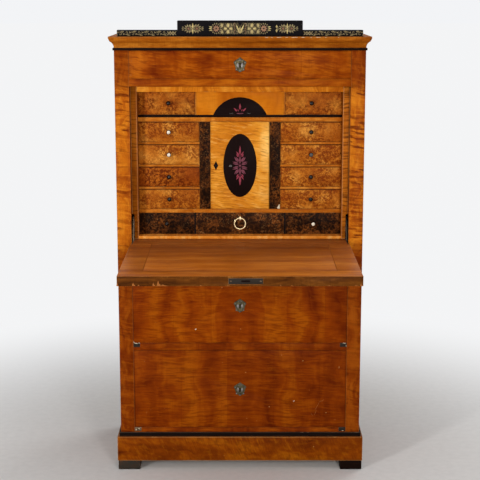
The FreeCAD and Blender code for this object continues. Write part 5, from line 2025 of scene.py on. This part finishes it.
SCARS: dict[str, tuple[Scar, ...]] = {
    "frieze_drawer": (Scar(-360, -34, 6, 4, 20), Scar(-358, 12, 2, 5), Scar(330, 20, 3)),
    "upper_drawer": (
        Scar(-152, -84, 9, 5, 40, Finish.CHIP), Scar(-132, -4, 4, 1.6, 70), Scar(-290, -60, 3), Scar(240, 30, 3),
        Scar(312, 84, 34, 1.6, -32), Scar(338, 70, 20, 1.6, -20), Scar(196, 92, 12, 1.6, -24),
    ),
    "lower_drawer": (
        Scar(-310, -76, 5, 2, 70), Scar(-325, -86, 12, 1.4, 75), Scar(-262, -70, 4, 2), Scar(-284, 4, 4, 2),
        Scar(-330, 100, 5, 2),
        Scar(187, -44, 9, 3, 40, Finish.CHIP), Scar(268, -62, 46, 1.6, 64), Scar(282, -44, 18, 1.6, 8),
        Scar(262, -86, 30, 1.5, 70),
        Scar(250, -92, 14, 1.4, 110), Scar(288, -40, 7, 2.4, 30), Scar(342, 78, 10, 6, 80), Scar(330, -112, 8, 2),
        Scar(58, -116, 6, 2), Scar(240, -4, 5, 1.6, 90), Scar(-60, 96, 4, 1.6), Scar(120, 36, 3, 1.4),
    ),
}


@dataclass
class LongDrawer(Assembly):
    """Long drawer with a veneered front, pine box, lock and cast plate."""

    plate: KeyholePlate
    name: str
    finish: Finish
    rim_drop: float = 14 * MM
    tail_pitch: float = 46 * MM
    tail_length: float = 13 * MM
    front_thickness: float = 20 * MM

    def dress(self) -> None:
        """Finishes the drawer and its lock."""
        self.joiner.dress(self.name, drawer(self.finish, Axis.Z, 0.9, 0.8), Slot.FIGURED)
        self.joiner.dress(f"{self.name}_lock", self.lock_coat, Slot.IRON)
        self.plate.build(f"{self.name}_keyhole_plate", self.name, front_of(self.name))
        self.dovetails()
        self.scars()

    def lock_coat(self, solid: Solid) -> Coat | None:
        """Iron lock case; the cast plate is a piece of its own."""
        return Coat(Finish.IRON, Axis.X, 0.5) if solid.number == 0 else None

    def scars(self) -> None:
        """Chips and scratches of the veneer on the front."""
        shells = []
        for k, scar in enumerate(SCARS[self.name]):
            outline = flake(scar.x, scar.z, scar.length, scar.width, scar.turn, 100 + k)
            shells.append((slab(outline, 0.1 * MM), scar.finish))
        self.joiner.add(f"{self.name}_scars", self.name, None, front_of(self.name), *shells)

    def dovetails(self) -> None:
        """End grain of the dovetails where the sides meet the front."""
        low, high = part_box(self.name)
        tall = high.z - self.rim_drop - low.z
        count = max(2, round(tall / self.tail_pitch))
        pitch = tall / count
        tails = []
        for x, sign in ((low.x, -1), (high.x, 1)):
            side = Matrix(((0, 0, sign, x), (1, 0, 0, low.y + self.front_thickness), (0, 1, 0, 0), (0, 0, 0, 1)))
            for middle in (low.z + pitch * (k + 0.5) for k in range(count)):
                narrow, wide = 0.24 * pitch, 0.36 * pitch
                outline = [
                    (0, middle - narrow), (0, middle + narrow), (-self.tail_length, middle + wide),
                    (-self.tail_length, middle - wide),
                ]
                tails.append(moved(slab(outline, 0.12 * MM), side))
        shell = (gather(tails), Finish.PINE)
        self.joiner.add(f"{self.name}_dovetails", self.name, Slot.PINE, STILL, shell)


@dataclass
class SmallDrawer(Assembly):
    """Small drawer of the fitment with its knob or ring staple."""

    knob: Knob
    name: str
    front: Finish
    pull: Finish | None

    PULL_NUMBER = 5

    def dress(self) -> None:
        """Finishes the drawer and turns its knob."""
        slot = Slot.MOTTLED if self.name.startswith("dark") else Slot.BURL
        self.joiner.dress(self.name, self.board_coat, slot)
        if self.pull is not None:
            low, high = box_of([corner for face in solids_of(self.name)[-1] for corner in face])
            place = on_front((low.x + high.x) / 2, high.y, (low.z + high.z) / 2)
            self.knob.build(f"{self.name}_knob", self.name, self.pull, place)

    def board_coat(self, solid: Solid) -> Coat | None:
        """Veneer on the front, pine behind, brass on a staple; a knob is a piece of its own.

        Args:
            solid: one part of the drawer.

        Returns:
            Its coat, or nothing for a knob.
        """
        if solid.number == self.PULL_NUMBER:
            return None if self.pull else Coat(Finish.PALE_BRASS, Axis.X, 1)
        return drawer(self.front, Axis.X, 0.7, 0.5)(solid)


@dataclass
class RingPull(Assembly):
    """Loose ring, thicker at its sides than at its top."""

    radius: float = 19 * MM
    thin: float = 2.0 * MM
    thick: float = 2.45 * MM
    steps: int = 72

    def dress(self) -> None:
        """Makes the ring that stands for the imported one."""
        low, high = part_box("ring_pull")
        turns = ring(self.steps)
        path = [Vector((self.radius * c, self.radius * s, 0)) for c, s in turns]
        radii = [self.thin + (self.thick - self.thin) * abs(c) for c, _ in turns]
        cast = (sweep(path, radii, 16, closed=True), Finish.PALE_BRASS)
        place = on_front(*((low + high) / 2))
        self.joiner.add("ring_pull_cast", "ring", Slot.BRASS, place, cast, stands_for=("ring_pull",))


def seen(graph: Graph) -> Value:
    """One for the rays that look at the stage, nothing for those that light it.

    Args:
        graph: the tree it is for.

    Returns:
        The share.
    """
    rays = graph.add("ShaderNodeLightPath")
    camera, glossy, through = (
        Value(graph, rays.outputs[f"Is {kind} Ray"]) for kind in ("Camera", "Glossy", "Transmission")
    )
    return camera.larger(glossy).larger(through)


@dataclass
class Studio:
    """Pale floor, soft lamps and the camera."""

    lens: float = 90.26
    sensor: float = 36.0
    camera_place: tuple[float, float, float] = (0, -3.9473, 1.6473)
    pitch: float = 10.715
    shift_y: float = -0.045
    clip_end: float = 200.0
    floor_rings: tuple[float, ...] = (0.8, 1.6, 3, 6, 12, 60)
    floor_drop: float = 0.5 * MM

    LAMPS = (
        ("soft_box_left", (-2.37, -2.93, 1.3), (0, 0.1, 1), (0.4, 1.3), 66),
        ("soft_box_right", (0.95, -3.64, 1.3), (0, 0.1, 1), (0.6, 1.3), 44),
        ("overhead", (0, -1.5, 3.4), (0, -0.2, 0.8), (2.6, 2), 32),
        ("back_fill", (2.6, 2.6, 2), (0, 0.3, 0.8), (2, 2), 46),
    )

    def build(self) -> None:
        """Sets up the whole stage."""
        self.floor()
        self.lamps()
        self.world()
        self.camera()

    def floor(self) -> None:
        """A plain pale floor that fades to white far away."""
        work = bmesh.new()
        loops = [[work.verts.new((reach * c, reach * s, 0)) for c, s in ring(48)] for reach in self.floor_rings]
        bridge(work, [*loops[::-1], [work.verts.new((0, 0, 0))]])
        mesh = bpy.data.meshes.new("floor")
        work.to_mesh(mesh)
        work.free()
        mesh.materials.append(self.floor_material())
        floor = placed("floor", mesh)
        floor.location.z = -self.floor_drop

    def floor_material(self) -> bpy.types.Material:
        """Matt pale floor, white to the camera beyond the object.

        Returns:
            The material.
        """
        material = bpy.data.materials.new("studio_floor")
        material.use_nodes = True
        material.node_tree.nodes.clear()
        graph = Graph(material.node_tree)
        place = graph.out("ShaderNodeTexCoord", None, "Object")
        colour = graph.noise(place, 40, 3).ramp((0.3, (226, 224, 221)), (0.7, (232, 230, 227)))
        matt = graph.out("ShaderNodeBsdfDiffuse", {"Color": colour})
        white = graph.out("ShaderNodeEmission", {"Color": (0.9, 0.905, 0.915, 1), "Strength": 1})
        far = graph.out("ShaderNodeVectorMath", {0: place}, "Value", operation="LENGTH").step(0.7, 2.2)
        mixed_light = graph.out("ShaderNodeMixShader", {0: far * seen(graph), 1: matt, 2: white})
        graph.add("ShaderNodeOutputMaterial", {"Surface": mixed_light})
        return material

    def lamps(self) -> None:
        """Two upright soft boxes at the front, a broad one overhead and one behind."""
        for name, place, target, size, power in self.LAMPS:
            data = bpy.data.lights.new(name, "AREA")
            data.shape, data.energy = "RECTANGLE", power
            data.size, data.size_y = size
            lamp = placed(name, data)
            lamp.location = place
            lamp.rotation_mode = "QUATERNION"
            lamp.rotation_quaternion = (Vector(target) - Vector(place)).to_track_quat("-Z", "Y")

    def world(self) -> None:
        """White to the camera and a plain pale light for everything else."""
        world = bpy.context.scene.world = bpy.data.worlds.new("studio_world")
        world.use_nodes = True
        world.node_tree.nodes.clear()
        graph = Graph(world.node_tree)
        strength = seen(graph) * 0.72 + 0.24
        light = graph.out("ShaderNodeBackground", {"Color": (0.93, 0.94, 0.96, 1), "Strength": strength})
        graph.add("ShaderNodeOutputWorld", {"Surface": light})

    def camera(self) -> None:
        """Camera at the photograph's viewing angle."""
        data = bpy.data.cameras.new("camera")
        data.lens, data.sensor_width, data.sensor_fit = self.lens, self.sensor, "HORIZONTAL"
        data.shift_y, data.clip_end = self.shift_y, self.clip_end
        camera = bpy.context.scene.camera = placed("camera", data)
        camera.location = self.camera_place
        camera.rotation_euler = (math.radians(90 - self.pitch), 0, 0)


SMALL_DRAWERS: tuple[tuple[str, Finish, Finish | None], ...] = (
    ("top_drawer_left", Finish.TOP_BURL, Finish.HORN),
    ("top_drawer_right", Finish.TOP_BURL, Finish.HORN),
    ("tier_drawer_left_1", Finish.BURL, Finish.BONE),
    ("tier_drawer_left_2", Finish.BURL, Finish.BONE),
    ("tier_drawer_left_3", Finish.DEEP_BURL, Finish.HORN),
    ("tier_drawer_left_4", Finish.BURL, Finish.HORN),
    ("tier_drawer_right_1", Finish.BURL, Finish.HORN),
    ("tier_drawer_right_2", Finish.BURL, Finish.GREY),
    ("tier_drawer_right_3", Finish.BURL, Finish.HORN),
    ("tier_drawer_right_4", Finish.BURL, Finish.HORN),
    ("dark_drawer_left", Finish.MOTTLED, Finish.HORN),
    ("dark_drawer_right", Finish.MOTTLED, Finish.BONE),
    ("dark_drawer_middle", Finish.BROWN_MOTTLED, None),
)


def main() -> None:
    """Builds the escritoire's pieces in order and sets the stage."""
    logging.basicConfig(level=logging.INFO, format="%(name)s: %(message)s")
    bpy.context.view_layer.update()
    bpy.context.scene.view_settings.view_transform = "Standard"
    joiner = Joiner()
    plate, knob = KeyholePlate(joiner), Knob(joiner)
    assemblies: list[Assembly] = [
        Carcass(joiner),
        Base(joiner),
        Crown(joiner),
        Fitment(joiner),
        Cupboard(joiner),
        WritingFlap(joiner, plate),
        LongDrawer(joiner, plate, "frieze_drawer", Finish.FRIEZE),
        LongDrawer(joiner, plate, "upper_drawer", Finish.DRAWER),
        LongDrawer(joiner, plate, "lower_drawer", Finish.LOWER_DRAWER),
        *(SmallDrawer(joiner, knob, *choice) for choice in SMALL_DRAWERS),
        RingPull(joiner),
    ]
    for assembly in assemblies:
        assembly.dress()
    Studio().build()
    LOG.info("%d pieces in all", joiner.count)


if __name__ == "__main__":
    main()
